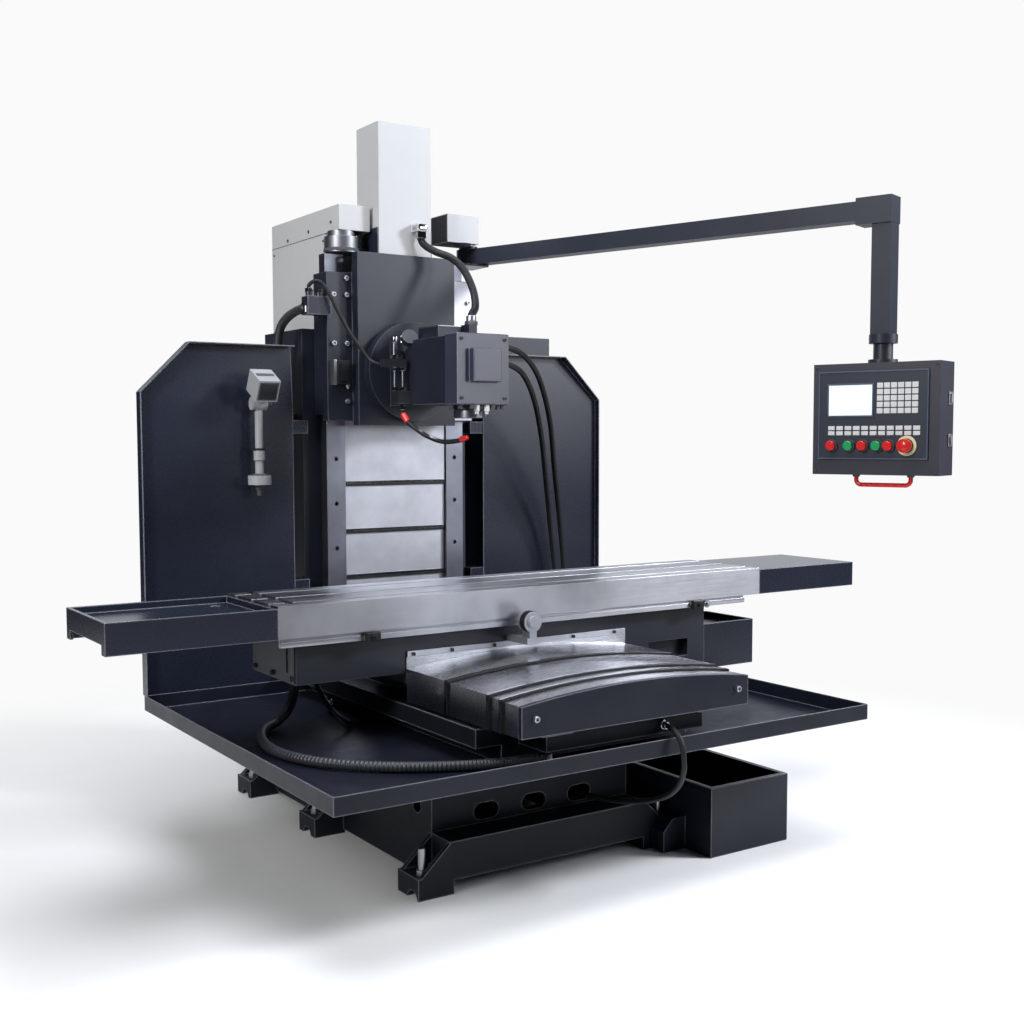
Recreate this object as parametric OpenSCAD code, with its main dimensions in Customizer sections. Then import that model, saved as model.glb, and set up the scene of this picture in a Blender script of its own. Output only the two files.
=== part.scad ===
// Bed-type CNC milling machine: bed, saddle, T-slot table, column, swivel head and control pendant.
// Origin: on the floor, at the centre of the four outer anchor holes. X runs along the table, -Y is
// the front.

/* [Bed] */
// Spacing of the anchor holes across the bed
anchor_span_x = 700; // [660:10:720]
// Spacing of the outer anchor holes along the bed
anchor_span_y = 1136; // [1120:4:1160]
// Diameter of an anchor hole
anchor_d = 22; // [16:1:26]
// Length of one foot along the bed
foot_len = 110; // [100:2:120]
// Height of a foot above its pad
foot_h = 58; // [50:1:70]
// Height of the bed body, up to the chip tray
body_h = 384; // [370:2:400]
// Thickness of the cast walls
cast_wall = 30; // [24:1:36]
// Width of the deck above the tray
deck_w = 750; // [730:5:770]
// Height of the deck above the tray
deck_h = 96; // [90:1:100]
// Length of the deck in front of the column
deck_len = 1090; // [1060:5:1120]
// Height of the Y ways
way_h = 55; // [50:1:56]
// Width of one Y way
way_w = 90; // [80:2:96]

/* [Chip tray and guards] */
// Width of the chip tray
tray_w = 1670; // [1640:5:1700]
// Length of the chip tray
tray_len = 1274; // [1270:2:1290]
// Height of the tray rim
tray_rim = 41; // [34:1:46]
// Thickness of the sheet metal
sheet_t = 3; // [2:0.5:4]
// Height of the guards' top above the floor
guard_top = 1471; // [1440:5:1480]
// Corner cut off at the top of a guard
guard_cut = 150; // [120:5:170]
// Folded rim around a guard
guard_rim = 22; // [16:1:26]
// Width of the gap between the guards
guard_gap = 702; // [696:2:712]

/* [Column] */
// Width over the two Z rails
rails_w = 500; // [492:2:508]
// Width of one Z rail
rail_w = 64; // [60:1:66]
// Thickness of a Z rail
rail_t = 40; // [36:1:42]
// Distance of the rail faces behind the origin
rail_y = 278; // [276:1:280]
// Width of the column box
column_w = 600; // [590:2:610]
// Height of the column box above the floor
column_top = 1530; // [1520:2:1540]
// Height of the rails above the floor
rail_top = 1760; // [1755:1:1764]

/* [Table] */
// Length of the table
table_len = 1630; // [1600:5:1660]
// Depth of the table
table_w = 329; // [320:1:336]
// Thickness of the table
table_t = 83; // [80:1:86]
// Height of the table's top above the floor
table_top = 773; // [770:1:776]
// Rest place of the table to the right of the column's middle
table_rest = 68; // [60:1:76]
// Number of T-slots
slot_count = 3; // [2:1:4]
// Width of a T-slot
slot_w = 18; // [14:1:20]
// Length of an end tray
end_tray_len = 422; // [400:2:440]

/* [Saddle] */
// Length of the saddle beam
saddle_len = 1370; // [1340:5:1380]
// Depth of the saddle beam
saddle_w = 275; // [270:1:280]
// Distance of the saddle's front before the origin
saddle_front = 445; // [443:1:447]

/* [Y way cover] */
// Half width of the largest segment
cover_half = 370; // [366:1:374]
// Rise of the arched top
cover_crown = 25; // [18:1:28]
// Step in size from one segment to the next
cover_step = 4; // [3.5:0.1:4.5]
// Thickness of the cover sheet
cover_t = 1.5; // [1:0.1:2]
// Length of a sliding segment
cover_len = 270; // [264:1:276]

/* [Head] */
// Height of the swivel axis above the floor
swivel_z = 1395; // [1392:1:1398]
// Diameter of the swivel disc
disc_d = 310; // [300:2:314]
// Width of the head slide's front
slide_w = 350; // [344:1:356]
// Width of the headstock
stock_w = 164; // [160:1:168]
// Distance of the spindle axis before the origin
spindle_y = 175; // [170:1:180]
// Diameter of the spindle nose
nose_d = 96; // [90:1:98]
// Width of the motor cover
motor_cover_w = 188; // [180:1:190]
// Height of the motor cover
motor_cover_h = 409; // [400:1:416]

/* [Pendant] */
// Length of the swing arm between its two axes
arm_len = 1470; // [1440:5:1500]
// Size of the square arm tube
arm_tube = 54; // [50:1:58]
// Width of the pendant case
case_w = 353; // [346:1:360]
// Height of the pendant case
case_h = 301; // [297:1:306]
// Depth of the pendant case
case_d = 100; // [90:1:110]
// Diameter of a push button
button_d = 26; // [22:1:28]
// Diameter of the emergency stop
stop_d = 36; // [34:1:40]

/* [Hidden] */
$fn = 64;

// Colours as seen in the photo
dark = [0.17, 0.18, 0.21];
white = [0.88, 0.88, 0.88];
steel = [0.74, 0.75, 0.77];
black = [0.05, 0.05, 0.06];
red = [0.8, 0.1, 0.1];
green = [0.1, 0.55, 0.25];

// Clearances and small shared sizes
overrun = 5;
slide_gap = 0.5;
swing_gap = 1;

// Bed
body_inset = 20;
body_w = anchor_span_x - 2 * body_inset;
foot_out = 95;
front_foot_in = 318;
pad_h = 12;
pad_d = 36;
notch_w = 54;
notch_h = 22;
notch_gap = 6;
level_offset = 46;
level_x = anchor_span_x / 2 + level_offset;
level_d = 20;
level_h = 70;
level_head_d = 32;
level_head_h = 14;
middle_row = 79;
anchor_rows = [-anchor_span_y / 2, middle_row, anchor_span_y / 2];
foot_shift = 22;
foot_rows = [-anchor_span_y / 2 + foot_shift, middle_row, anchor_span_y / 2 + foot_shift / 2];
foot_ins = [front_foot_in, body_w / 2 - overrun, body_w / 2 - overrun];
base_front = -505;
base_back = 640;
skirt_h = 140;
skirt_z0 = 37;
chin_h = 270;
chin_edge_h = 350;
deck_gap = 12;
deck_back = rail_y + deck_gap;
deck_front = deck_back - deck_len;
deck_top = body_h + deck_h;
deck_flange = 48;
web_set_in = 30;
web_w = body_w - 2 * web_set_in;
nose_w = 500;
nose_h = 50;
cover_front = -961;
nose_set = 41;
way_top = deck_top + way_h;
way_mid = 245;
hole_pitch = 157;
hole_z = 172;
hole_w = 80;
hole_h = 45;
gusset_h = 140;
side_holes = [-425, -85];
side_hole_z = 198;

// Tray and guards
tray_back = 306;
tray_front = tray_back - tray_len;
tray_apron = 168;
web_front = tray_front + tray_apron;
tray_z = body_h;
tray_top = tray_z + tray_rim + sheet_t;
tray_gap = 3;
guard_y = tray_back;
corner_share = 0.41;
bend_z = 1282;
bend_set = 12;
bracket_zs = [700, 1200];
bracket_h = 40;
bracket_back = 375;

// Electrical cabinet on the column's right side
electric_x1 = 695;
electric_y0 = 400;
electric_y1 = 640;
electric_z0 = 700;
electric_z1 = 1542;
electric_rim = 90;

// Coolant tank
tank_x0 = body_w / 2 + foot_out;
tank_x1 = 726;
tank_y0 = -768;
tank_y1 = -200;
tank_h = 200;
lug_len = 80;
lug_gap = 5;
lug_w = 52;
lug_y1 = foot_rows[0] - foot_len / 2 - lug_gap;
lug_y0 = lug_y1 - lug_w;
lug_h = 95;
lug_edge_h = 60;
lug_cut = 35;

// Column
column_bottom = deck_top;
column_front = 345;
column_back = base_back;
column_wall = 25;
pillar_w = 47;
pillar_set_in = 1;
pillar_in = rails_w / 2 - rail_w - pillar_set_in;
pillar_front = rail_y + rail_t;
recess_bottom = 620;
horn_back = 340;
rail_holes = 9;
rail_hole_d = 14;
rail_hole_deep = 13;

// Z drive
cabinet_x0 = -214;
cabinet_x1 = -107;
cabinet_gap = 2;
cabinet_y0 = horn_back + cabinet_gap;
cabinet_y1 = 770;
lid_z = 1832;
lid_h = 79;
lid_front = 245;
z_motor_x = -187;
z_motor_y = 287;
z_motor_d = 108;
z_motor_cap_d = 86;
z_motor_cap_h = 18;
screw_x = -150;
screw_y = 400;
screw_d = 32;
screw_z0 = column_bottom + column_wall + slide_gap;
pulley_z = column_top + sheet_t + overrun;
pulley_d = 76;
pulley_h = 56;

// Head
slide_front = 200;
slide_top = 1763;
slide_bottom = 1225;
gib_top = 1700;
gib_bottom = 1240;
gib_front = 240;
gib_out = 12;
gib_w = rails_w + 2 * gib_out;
tongue_gap = 7;
tongue_w = 2 * (pillar_in - tongue_gap);
seat_w = 176;
nut_z0 = 1260;
nut_z1 = 1340;
tongue_back = 305;
keeper_t = 18;
keeper_gap = 4;
keeper_in = pillar_in + pillar_w + keeper_gap;
keeper_back = pillar_front + slide_gap + keeper_t;
keeper_up = 20;
keeper_z0 = gib_bottom + keeper_up;
valve_len = 78;
valve_w = 46;
valve_y = 231;
valve_z0 = 1562;
valve_z1 = 1618;
valve_ports = [-325, -291];
port_h = 22;
port_d = 22;
spigot_d = 120;
disc_front = 165;
stock_front = -181;
stock_nose = -238;
cover_rim = 5;
quill_d = 124;
quill_h = 18;
hump_w = 80;
hump_l = 120;
hump_h = 38;
socket_w = 28;
socket_l = 52;
socket_y = -60;
socket_h = 46;
hose_ports = [1405, 1450];
hose_port_y = -80;
hose_port_l = 32;
hose_port_d = 24;
worm_at = [-66, 112, 1448];
worm_turn = [62, 0, -14];
worm_d = 48;
worm_l = 96;
stock_down = 109;
stock_up = 87;
stock_z0 = swivel_z - stock_down;
stock_z1 = swivel_z + stock_up;
quill_z = stock_z0 - quill_h;
cover_face = -250;
cover_side = 7;
cover_w = stock_w + 2 * cover_side;
pad_size = 96;
pad_raise = 25;
nose_z = 1243;
bore_d = 92;
quill_top = 1430;
taper_d = 44.45;
taper_len = 65;
taper_end_d = 25.4;

// Coolant manifold on the headstock's left side
nozzle_x = 132;
nozzle_y0 = 24;
nozzle_y1 = 68;
nozzle_z0 = 1290;
nozzle_z1 = 1328;
riser_places = [[-124, 58], [-106, 40]];
riser_d = 9;
tee_x0 = -160;
tee_x1 = -98;
tee_y0 = 30;
tee_y1 = 83;
tee_z0 = 1400;
tee_z1 = 1424;
stub_h = 66;
stub_d = 14;
nozzle_d = 12;
nozzle_route = [
    [-108, 42, 1292], [-108, 42, 1262], [-104, 32, 1242], [-92, 10, 1222], [-66, -30, 1192],
    [-40, -80, 1174], [-16, -126, 1176], [0, -158, 1186]
];

// Motor cover
motor_y0 = 209;
motor_y1 = 359;
motor_z0 = slide_top;
motor_d = 130;
motor_h = 300;
gland_x = 40;
gland_w = 36;
gland_out = 42;
gland_z = 1838;
gland_h = 24;

// Table and saddle
table_front = -485;
table_back = table_front + table_w;
table_z0 = table_top - table_t;
table_x0 = table_rest - table_len / 2;
table_x1 = table_rest + table_len / 2;
dovetail_top_w = 170;
dovetail_foot_w = 130;
dovetail_h = 22;
saddle_back = -saddle_front + saddle_w;
saddle_mid = (table_front + table_back) / 2;
saddle_top = table_z0 - slide_gap;
saddle_z0 = 563;
saddle_low = 490;
saddle_half = saddle_len / 2;
window_x0 = 462;
window_x1 = 619;
window_z0 = 516;
window_z1 = 568;
x_motor_len = 210;
x_motor_rim = 8;
x_motor_dip = 20;
x_motor_y0 = -445;
x_motor_y1 = -225;
x_motor_z0 = 465;
x_motor_z1 = 606;
switch_x = -32;
switch_z = 684;
switch_d = 57;
switch_cap_d = 34;
switch_cap_t = 7;
switch_out = 105;
switch_len = 37;
switch_y0 = -saddle_front - switch_out;
switch_y1 = switch_y0 + switch_len;
switch_arm_w = 40;
switch_arm_z0 = 622;
switch_arm_z1 = 640;
switch_post_w = 24;
slot_deep = 24;
trough_in = 47;
trough_w = 20;
trough_deep = 14;
slot_foot_share = 1.7;
slot_foot_h = 14;
tray_edge = 9;
leg_w = 28;
leg_h = 24;
tray_deep = 18;
drain_d = 24;
drain_in = 60;
right_tray_extra = 9;
dog_rail_in = 7;
dog_rail_short = 62;
dog_rail_y0 = 3;
dog_rail_y1 = 17;
dog_rail_h = 22;
dog_rail_neck = 8;
dog_neck_in = 6;
dog_w = 40;
dog_out = 12;
dog_drop = 2;
end_tray_drop = 5;
end_tray_top = table_top - end_tray_drop;
dog_xs = [-491, 618];

// Y cover: corner height of the largest segment and rest places of the segments' front edges
cover_z0 = 487;
cover_corner = 575;
cover_fronts = [-652, -841, -890, cover_front];
lip_len = 8;
lip_t = cover_step - slide_gap;
flange_top = 606;
flange_foot = 545;
flange_t = 3;
end_plate_t = 12;
arch_steps = 16;

// Z cover: rest height of the lower edges, panel height and plane of the first panel
panel_lows = [1035, 882, 735, 560];
panel_h = 190;
panel_fixed_h = 215;
panel_back = 6;
panel_y = rail_y + panel_back;
panel_t = 2;
panel_pitch = 4;
panel_lip_h = 12;
panel_side_gap = 1.5;
panel_half = pillar_in - panel_side_gap;

// Pendant: swing arm from its post to the drop tube
post_x = 318;
post_y = 345;
post_d = 40;
post_cap_d = 64;
pivot_t = 7;
pivot_z = rail_top + pivot_t;
junction_w = 122;
junction_h = 92;
arm_turn = -72.1;
arm_z = 1793;
hub_top = arm_z + arm_tube / 2;
hub_bottom = pivot_z + swing_gap;
hub_d = 80;
arm_wall = 4;
arm_root = 32;
elbow_l = 100;
elbow_in = 72;
elbow_w = 64;
elbow_h = 72;
elbow_drop = 37;
elbow_z = arm_z - elbow_drop;
drop_w = 54;
collar_d = 76;
collar_h = 24;
pin_d = 30;
pin_h = 20;
neck_d = 52;
neck_flange_d = 78;
neck_flange_h = 10;
arm_end = [post_x + arm_len * cos(arm_turn), post_y + arm_len * sin(arm_turn)];
drop_z = 1461;
case_top = 1384;
panel_x0 = -156;
panel_x1 = 145;
panel_down = 24;
panel_high = 232;
panel_z1 = case_top - panel_down;
panel_z0 = panel_z1 - panel_high;
panel_raise = 4;
panel_face = -case_d / 2 - panel_raise;
case_wall = 3;
screen_x0 = -129;
screen_x1 = -5;
screen_z0 = 1243;
screen_z1 = 1326;
screen_t = 2;
key_t = 1.5;
pad_columns = 6;
pad_rows = 5;
pad_x0 = 7.5;
pad_z1 = 1316;
pad_pitch_x = 19.2;
pad_pitch_z = 17;
pad_key_w = 16.5;
pad_key_h = 14;
row_keys = 11;
row_rows = 2;
row_x0 = -130;
row_z0 = 1190;
row_pitch = 23.8;
row_step = 14;
row_key_w = 19;
row_key_h = 11;
handle_xs = [-58, 94];
handle_y = -28;
handle_drop = 27;
handle_d = 12;
button_z = 1162;
button_xs = [-118, -68, -29, 11, 43];
button_colours = [red, green, red, green, red];
button_stem_d = 16;
button_h = 12;
stop_x = 92;
stop_h = 20;
well_d = button_stem_d + 2 * slide_gap;
well_back = -10;
stem_deep = 24;
press_gap = 6;
bezel_d = 33;
bezel_h = 8;
stop_ring_d = 52;
stop_ring_t = 3;

// Lamp
lamp_x = -482;
lamp_y = 262;
lamp_base_z = 1044;
lamp_foot_h = 28;
lamp_foot_top = lamp_base_z + lamp_foot_h;
lamp_foot_d = 70;
lamp_arm_w = 40;
lamp_neck_z = 1118;
lamp_neck_d = 26;
lamp_pin_h = 20;
lamp_pin_d = 14;
lamp_knob_h = 30;
lamp_knob_d = 34;
lamp_tube_d = 24;
lamp_ball_z = 1290;
lamp_joint_half = 12;
lamp_joint_d = 46;
lamp_ear_t = 11;
lamp_ear_d = 40;
lamp_tilt = 28;
lamp_head_w = 68;
lamp_head_y0 = -52;
lamp_head_y1 = 30;
lamp_head_z0 = 32;
lamp_head_z1 = 100;

// Cord routes and diameters
head_conduit_d = 24;
head_conduit_route = [
    [40, 182, 1838], [40, 182, 1818], [52, 178, 1796], [84, 160, 1775], [118, 130, 1757], [134, 90, 1725],
    [138, 50, 1680], [132, 10, 1630], [108, -34, 1585], [82, -56, 1562], [78, -58, 1550]
];
supply_d = 28;
supply_route = [
    [-340.5, 230, 1578], [-350, 230, 1578], [-358, 260, 1572], [-366, 300, 1558], [-372, 340, 1530],
    [-374, 362, 1480], [-374, 372, 1420], [-372, 384, 1350], [-362, 396, 1290], [-340, 400, 1256],
    [-318, 400, 1250], [-300, 400, 1250]
];
coolant_d = 12;
coolant_route = [
    [-325, 230, 1640.5], [-325, 230, 1652], [-312, 216, 1664], [-292, 204, 1655], [-272, 192, 1618],
    [-248, 178, 1562], [-220, 166, 1506], [-188, 152, 1456], [-166, 132, 1422], [-152, 106, 1410],
    [-150, 92, 1412], [-150, 84, 1412]
];
right_d = 18;
right_upper_route = [
    [140, -80, 1450], [160, -80, 1454], [215, -66, 1462], [300, -30, 1438], [401, 40, 1373],
    [498, 120, 1245], [575, 200, 1074], [632, 246, 880], [656, 254, 700], [660, 255, 540], [660, 255, 387]
];
right_lower_route = [
    [140, -80, 1405], [160, -80, 1408], [210, -64, 1412], [290, -26, 1386], [385, 50, 1312],
    [472, 132, 1190], [545, 208, 1030], [596, 250, 850], [622, 257, 680], [628, 258, 530], [628, 258, 387]
];
tray_conduit_d = 26;
tray_conduit_route = [
    [-600, -240, 562.5], [-600, -240, 540], [-592, -215, 490], [-590, -170, 440], [-612, -150, 408],
    [-668, -190, 401], [-718, -300, 401], [-736, -430, 401], [-700, -570, 401], [-610, -690, 401],
    [-500, -770, 401], [-380, -828, 401], [-290, -848, 401], [-200, -850, 401]
];
front_cable_d = 15;
front_cable_route = [
    [109, -920.5, 455], [109, -942, 455], [110, -966, 449], [111, -987, 433], [113, -999, 409],
    [115, -1001, 380], [119, -996, 345], [134, -958, 296], [158, -880, 248], [176, -775, 208],
    [180, -660, 180], [168, -580, 172], [157, -525, 172], [157, -496, 172]
];

// Shared shapes
module block(x0, x1, y0, y1, z0, z1) {
    translate([x0, y0, z0]) cube([x1 - x0, y1 - y0, z1 - z0]);
}

module pair_x() {
    children();
    mirror([1, 0, 0]) children();
}

module rod_x(x0, x1, y, z, d) {
    translate([x0, y, z]) rotate([0, 90, 0]) cylinder(d = d, h = x1 - x0);
}

module rod_y(x, y0, y1, z, d) {
    translate([x, y1, z]) rotate([90, 0, 0]) cylinder(d = d, h = y1 - y0);
}

module rod_z(x, y, z0, z1, d) {
    translate([x, y, z0]) cylinder(d = d, h = z1 - z0);
}

// Side profile of [y, z] points pulled along X
module prism_x(x0, x1, points) {
    translate([x0, 0, 0]) rotate([90, 0, 90]) linear_extrude(x1 - x0) polygon(points);
}

// Front profile of [x, z] points pulled along Y
module prism_y(y0, y1) {
    translate([0, y1, 0]) rotate([90, 0, 0]) linear_extrude(y1 - y0) children();
}

// Swept tube: one ring at each point of the route
function unit(v) = v / norm(v);
function tangents(route) = [
    for (i = [0 : len(route) - 1])
        unit(route[min(i + 1, len(route) - 1)] - route[max(i - 1, 0)])
];
function ring_axes(ts, i, u) = i >= len(ts) ? [] :
    let (w = unit(u - (u * ts[i]) * ts[i])) concat([w], ring_axes(ts, i + 1, w));
module tube_along(route, d, sides) {
    ts = tangents(route);
    us = ring_axes(ts, 0, abs(ts[0][0]) > 0.9 ? [0, 1, 0] : [1, 0, 0]);
    n = len(route);
    rings = [
        for (i = [0 : n - 1])
            for (k = [0 : sides - 1])
                let (a = 360 * k / sides)
                route[i] + d / 2 * (cos(a) * us[i] + sin(a) * cross(ts[i], us[i]))
    ];
    walls = [
        for (i = [0 : n - 2])
            for (k = [0 : sides - 1])
                let (j = (k + 1) % sides)
                [i * sides + k, (i + 1) * sides + k, (i + 1) * sides + j, i * sides + j]
    ];
    start_cap = [for (k = [0 : sides - 1]) k];
    end_cap = [for (k = [sides - 1 : -1 : 0]) (n - 1) * sides + k];
    polyhedron(rings, concat(walls, [start_cap, end_cap]));
}

// Frame
module foot(y, x0) {
    block(x0, body_w / 2 + foot_out, y - foot_len / 2, y + foot_len / 2, 0, foot_h);
    for (side = [-1, 1])
        translate([0, y + side * (foot_len - cast_wall / 2) / 2, 0])
            rotate([90, 0, 0])
                linear_extrude(cast_wall / 2, center = true)
                    polygon([
                        [body_w / 2 - overrun, foot_h - overrun],
                        [body_w / 2 + foot_out - overrun, foot_h - overrun],
                        [body_w / 2 - overrun, gusset_h]
                    ]);
}

module base_holes() {
    for (i = [-1, 0, 1])
        translate([i * hole_pitch, 0, hole_z])
            prism_y(base_front - overrun, base_front + cast_wall + overrun)
                union() {
                    square([hole_w - hole_h, hole_h], center = true);
                    for (s = [-1, 1])
                        translate([s * (hole_w - hole_h) / 2, 0]) circle(d = hole_h);
                }
    for (y = side_holes) rod_x(-body_w, body_w, y, side_hole_z, hole_h);
}

module bed_casting() color(dark) {
    difference() {
        union() {
            prism_x(-body_w / 2, body_w / 2, [
                [base_front, pad_h], [base_front, chin_h], [web_front, chin_edge_h],
                [web_front, body_h], [base_back, body_h], [base_back, pad_h]
            ]);
            block(-body_w / 2, body_w / 2, foot_rows[0] - foot_len / 2, base_front + overrun,
                  skirt_z0, skirt_h);
            for (i = [0 : len(foot_rows) - 1]) pair_x() foot(foot_rows[i], foot_ins[i]);
        }
        block(-body_w / 2 + cast_wall, body_w / 2 - cast_wall, base_front + cast_wall, base_back - cast_wall,
              -overrun, body_h - cast_wall);
        base_holes();
        for (y = anchor_rows) pair_x() {
            rod_z(anchor_span_x / 2, y, -overrun, gusset_h, anchor_d);
            rod_z(level_x, y, -overrun, gusset_h, level_d + slide_gap);
            rod_x(level_x - pad_d / 2 - notch_gap, body_w / 2 + foot_out + overrun, y,
                  notch_h - notch_w / 2, notch_w);
        }
    }
    block(-web_w / 2, web_w / 2, web_front, deck_back, body_h, deck_top - deck_flange);
    block(-deck_w / 2, deck_w / 2, deck_front, deck_back, deck_top - deck_flange, deck_top);
    block(-nose_w / 2, nose_w / 2, cover_front + nose_set, deck_front, deck_top - nose_h, deck_top);
    block(-column_w / 2, column_w / 2, deck_back, base_back, body_h, deck_top);
    pair_x()
        block(way_mid - way_w / 2, way_mid + way_w / 2, cover_front, deck_back - cast_wall,
              deck_top, way_top);
}

module levelling_bolts() color(steel) {
    for (y = anchor_rows) pair_x() {
        rod_z(level_x, y, 0, pad_h, pad_d);
        rod_z(level_x, y, pad_h, foot_h + level_h, level_d);
        translate([level_x, y, foot_h]) cylinder(d = level_head_d, h = level_head_h, $fn = 6);
    }
}

module chip_tray() color(dark) difference() {
    block(-tray_w / 2, tray_w / 2, tray_front, tray_back, tray_z, tray_top);
    block(-tray_w / 2 + sheet_t, tray_w / 2 - sheet_t, tray_front + sheet_t, tray_back - sheet_t,
          tray_z + sheet_t, tray_top + overrun);
    block(-web_w / 2 - tray_gap, web_w / 2 + tray_gap, web_front - tray_gap, tray_back + overrun,
          tray_z - overrun, tray_top + overrun);
}

module guard_outline(inset, x0, z0) {
    polygon([
        [x0, z0], [tray_w / 2 - inset, z0],
        [tray_w / 2 - inset, guard_top - guard_cut - inset * corner_share],
        [tray_w / 2 - guard_cut - inset * corner_share, guard_top - inset],
        [x0, guard_top - inset]
    ]);
}

module guard() {
    x0 = guard_gap / 2;
    back = guard_y + bend_set + sheet_t;
    intersection() {
        prism_x(x0, tray_w / 2, [
            [guard_y, tray_z], [guard_y, bend_z], [guard_y + bend_set, guard_top],
            [back, guard_top], [guard_y + sheet_t, bend_z], [guard_y + sheet_t, tray_z]
        ]);
        prism_y(guard_y - overrun, back + overrun) guard_outline(0, x0, tray_z);
    }
    difference() {
        prism_y(guard_y - guard_rim, back) guard_outline(0, x0, tray_top);
        prism_y(guard_y - guard_rim - overrun, back + overrun)
            guard_outline(sheet_t, x0 - overrun, tray_top - overrun);
    }
    for (z = bracket_zs)
        block(column_w / 2, x0 + sheet_t, guard_y + sheet_t, bracket_back, z, z + bracket_h);
}

module left_guard() color(dark) mirror([1, 0, 0]) guard();

module right_guard() color(dark) guard();

module column() color(dark) {
    difference() {
        block(-column_w / 2, column_w / 2, column_front, column_back, column_bottom, column_top);
        block(-column_w / 2 + column_wall, column_w / 2 - column_wall, column_front + column_wall,
              column_back - column_wall, column_bottom + column_wall, column_top - column_wall);
        block(-pillar_in, pillar_in, column_front - overrun, column_front + column_wall + overrun,
              recess_bottom, column_top + overrun);
        rod_z(screw_x, screw_y, column_top - column_wall - overrun, column_top + overrun,
              screw_d + 2 * swing_gap);
    }
    pair_x() {
        block(pillar_in, pillar_in + pillar_w, pillar_front, column_front, column_bottom, column_top);
        block(pillar_in, pillar_in + pillar_w, pillar_front, horn_back, column_top, rail_top);
    }
}

module z_rails() color(steel) pair_x() difference() {
    block(rails_w / 2 - rail_w, rails_w / 2, rail_y, pillar_front, column_bottom, rail_top);
    for (i = [0 : rail_holes - 1])
        rod_y(rails_w / 2 - rail_w / 2, rail_y - overrun, rail_y + rail_hole_deep,
              column_bottom + (i + 0.5) * (rail_top - column_bottom) / rail_holes, rail_hole_d);
}

module drive_cabinet() color(white) difference() {
    block(cabinet_x0, cabinet_x1, cabinet_y0, cabinet_y1, column_top, lid_z);
    block(cabinet_x0 + sheet_t, cabinet_x1 - sheet_t, cabinet_y0 + sheet_t, cabinet_y1 - sheet_t,
          column_top + sheet_t, lid_z + overrun);
    rod_z(screw_x, screw_y, column_top - overrun, column_top + sheet_t + overrun, screw_d + 2 * swing_gap);
}

module belt_cover() color(white) difference() {
    block(cabinet_x0, cabinet_x1, lid_front, cabinet_y1, lid_z, lid_z + lid_h);
    block(cabinet_x0 + sheet_t, cabinet_x1 - sheet_t, lid_front + sheet_t, cabinet_y1 - sheet_t,
          lid_z - overrun, lid_z + lid_h - sheet_t);
}

module z_motor() color(dark) {
    rod_z(z_motor_x, z_motor_y, slide_top + swing_gap, lid_z - z_motor_cap_h, z_motor_d);
    rod_z(z_motor_x, z_motor_y, lid_z - z_motor_cap_h, lid_z, z_motor_cap_d);
}

module z_ball_screw() color(steel) {
    rod_z(screw_x, screw_y, screw_z0, pulley_z, screw_d);
    rod_z(screw_x, screw_y, pulley_z, pulley_z + pulley_h, pulley_d);
}

module arm_pivot() color(dark) {
    block(rails_w / 2 - rail_w, post_x + post_d, rail_y, post_y + post_d, rail_top, pivot_z);
    rod_z(post_x, post_y, pivot_z, hub_top + swing_gap, post_d);
    rod_z(post_x, post_y, hub_top + swing_gap, lid_z, post_cap_d);
}

module junction_box() color(white) difference() {
    block(post_x - junction_w, post_x, rail_y, post_y + post_d, lid_z, lid_z + junction_h);
    block(post_x - junction_w + sheet_t, post_x - sheet_t, rail_y + sheet_t, post_y + post_d - sheet_t,
          lid_z - overrun, lid_z + junction_h - sheet_t);
    rod_z(post_x, post_y, lid_z - overrun, lid_z + sheet_t, post_cap_d);
}

module electrical_cabinet() color(dark) difference() {
    block(column_w / 2, electric_x1, electric_y0, electric_y1, electric_z0, electric_z1);
    block(column_w / 2 + sheet_t, electric_x1 - sheet_t, electric_y0 + sheet_t, electric_y1 - sheet_t,
          electric_z0 + sheet_t, electric_z1 - sheet_t);
    block(column_w / 2 + electric_rim, electric_x1 - electric_rim, electric_y0 + electric_rim,
          electric_y1 - electric_rim, electric_z0 - overrun, electric_z0 + sheet_t + overrun);
}

module coolant_tank() color(dark) {
    lug_x = tank_x0 - lug_len;
    prism_y(lug_y0, lug_y1) polygon([
        [lug_x, 0], [tank_x0, 0], [tank_x0, lug_h], [lug_x + lug_cut, lug_h], [lug_x, lug_edge_h]
    ]);
    difference() {
        block(tank_x0, tank_x1, tank_y0, tank_y1, 0, tank_h);
        block(tank_x0 + sheet_t, tank_x1 - sheet_t, tank_y0 + sheet_t, tank_y1 - sheet_t,
              sheet_t, tank_h + overrun);
    }
}

// Y way cover
function arch(half, corner, crown, z0) =
    let (r = (half * half + crown * crown) / (2 * crown), span = asin(half / r))
    concat([[half, z0]], [
        for (i = [0 : arch_steps])
            let (a = span - 2 * span * i / arch_steps)
            [r * sin(a), corner + crown - r + r * cos(a)]
    ], [[-half, z0]]);

module cover_segment(i, y0, y1) {
    half = cover_half - i * cover_step;
    corner = cover_corner - i * cover_step;
    difference() {
        prism_y(y0, y1) polygon(arch(half, corner, cover_crown, cover_z0));
        prism_y(y0 + lip_len, y1 + overrun)
            polygon(arch(half - cover_t, corner - cover_t, cover_crown, cover_z0 - overrun));
        prism_y(y0 - overrun, y1 + overrun)
            polygon(arch(half - lip_t, corner - lip_t, cover_crown, cover_z0 - overrun));
    }
}

module y_cover_carrier() color(steel) {
    cover_segment(0, cover_fronts[0], -saddle_front - flange_t);
    difference() {
        prism_y(-saddle_front - flange_t, -saddle_front)
            polygon([
                [-cover_half, flange_foot], [cover_half, flange_foot],
                [cover_half, flange_top], [-cover_half, flange_top]
            ]);
        prism_y(-saddle_front - flange_t - overrun, -saddle_front + overrun)
            polygon(arch(cover_half - cover_t, cover_corner - cover_t, cover_crown, cover_z0));
    }
}

module y_cover_rear() color(steel) cover_segment(1, cover_fronts[1], cover_fronts[1] + cover_len);

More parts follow.
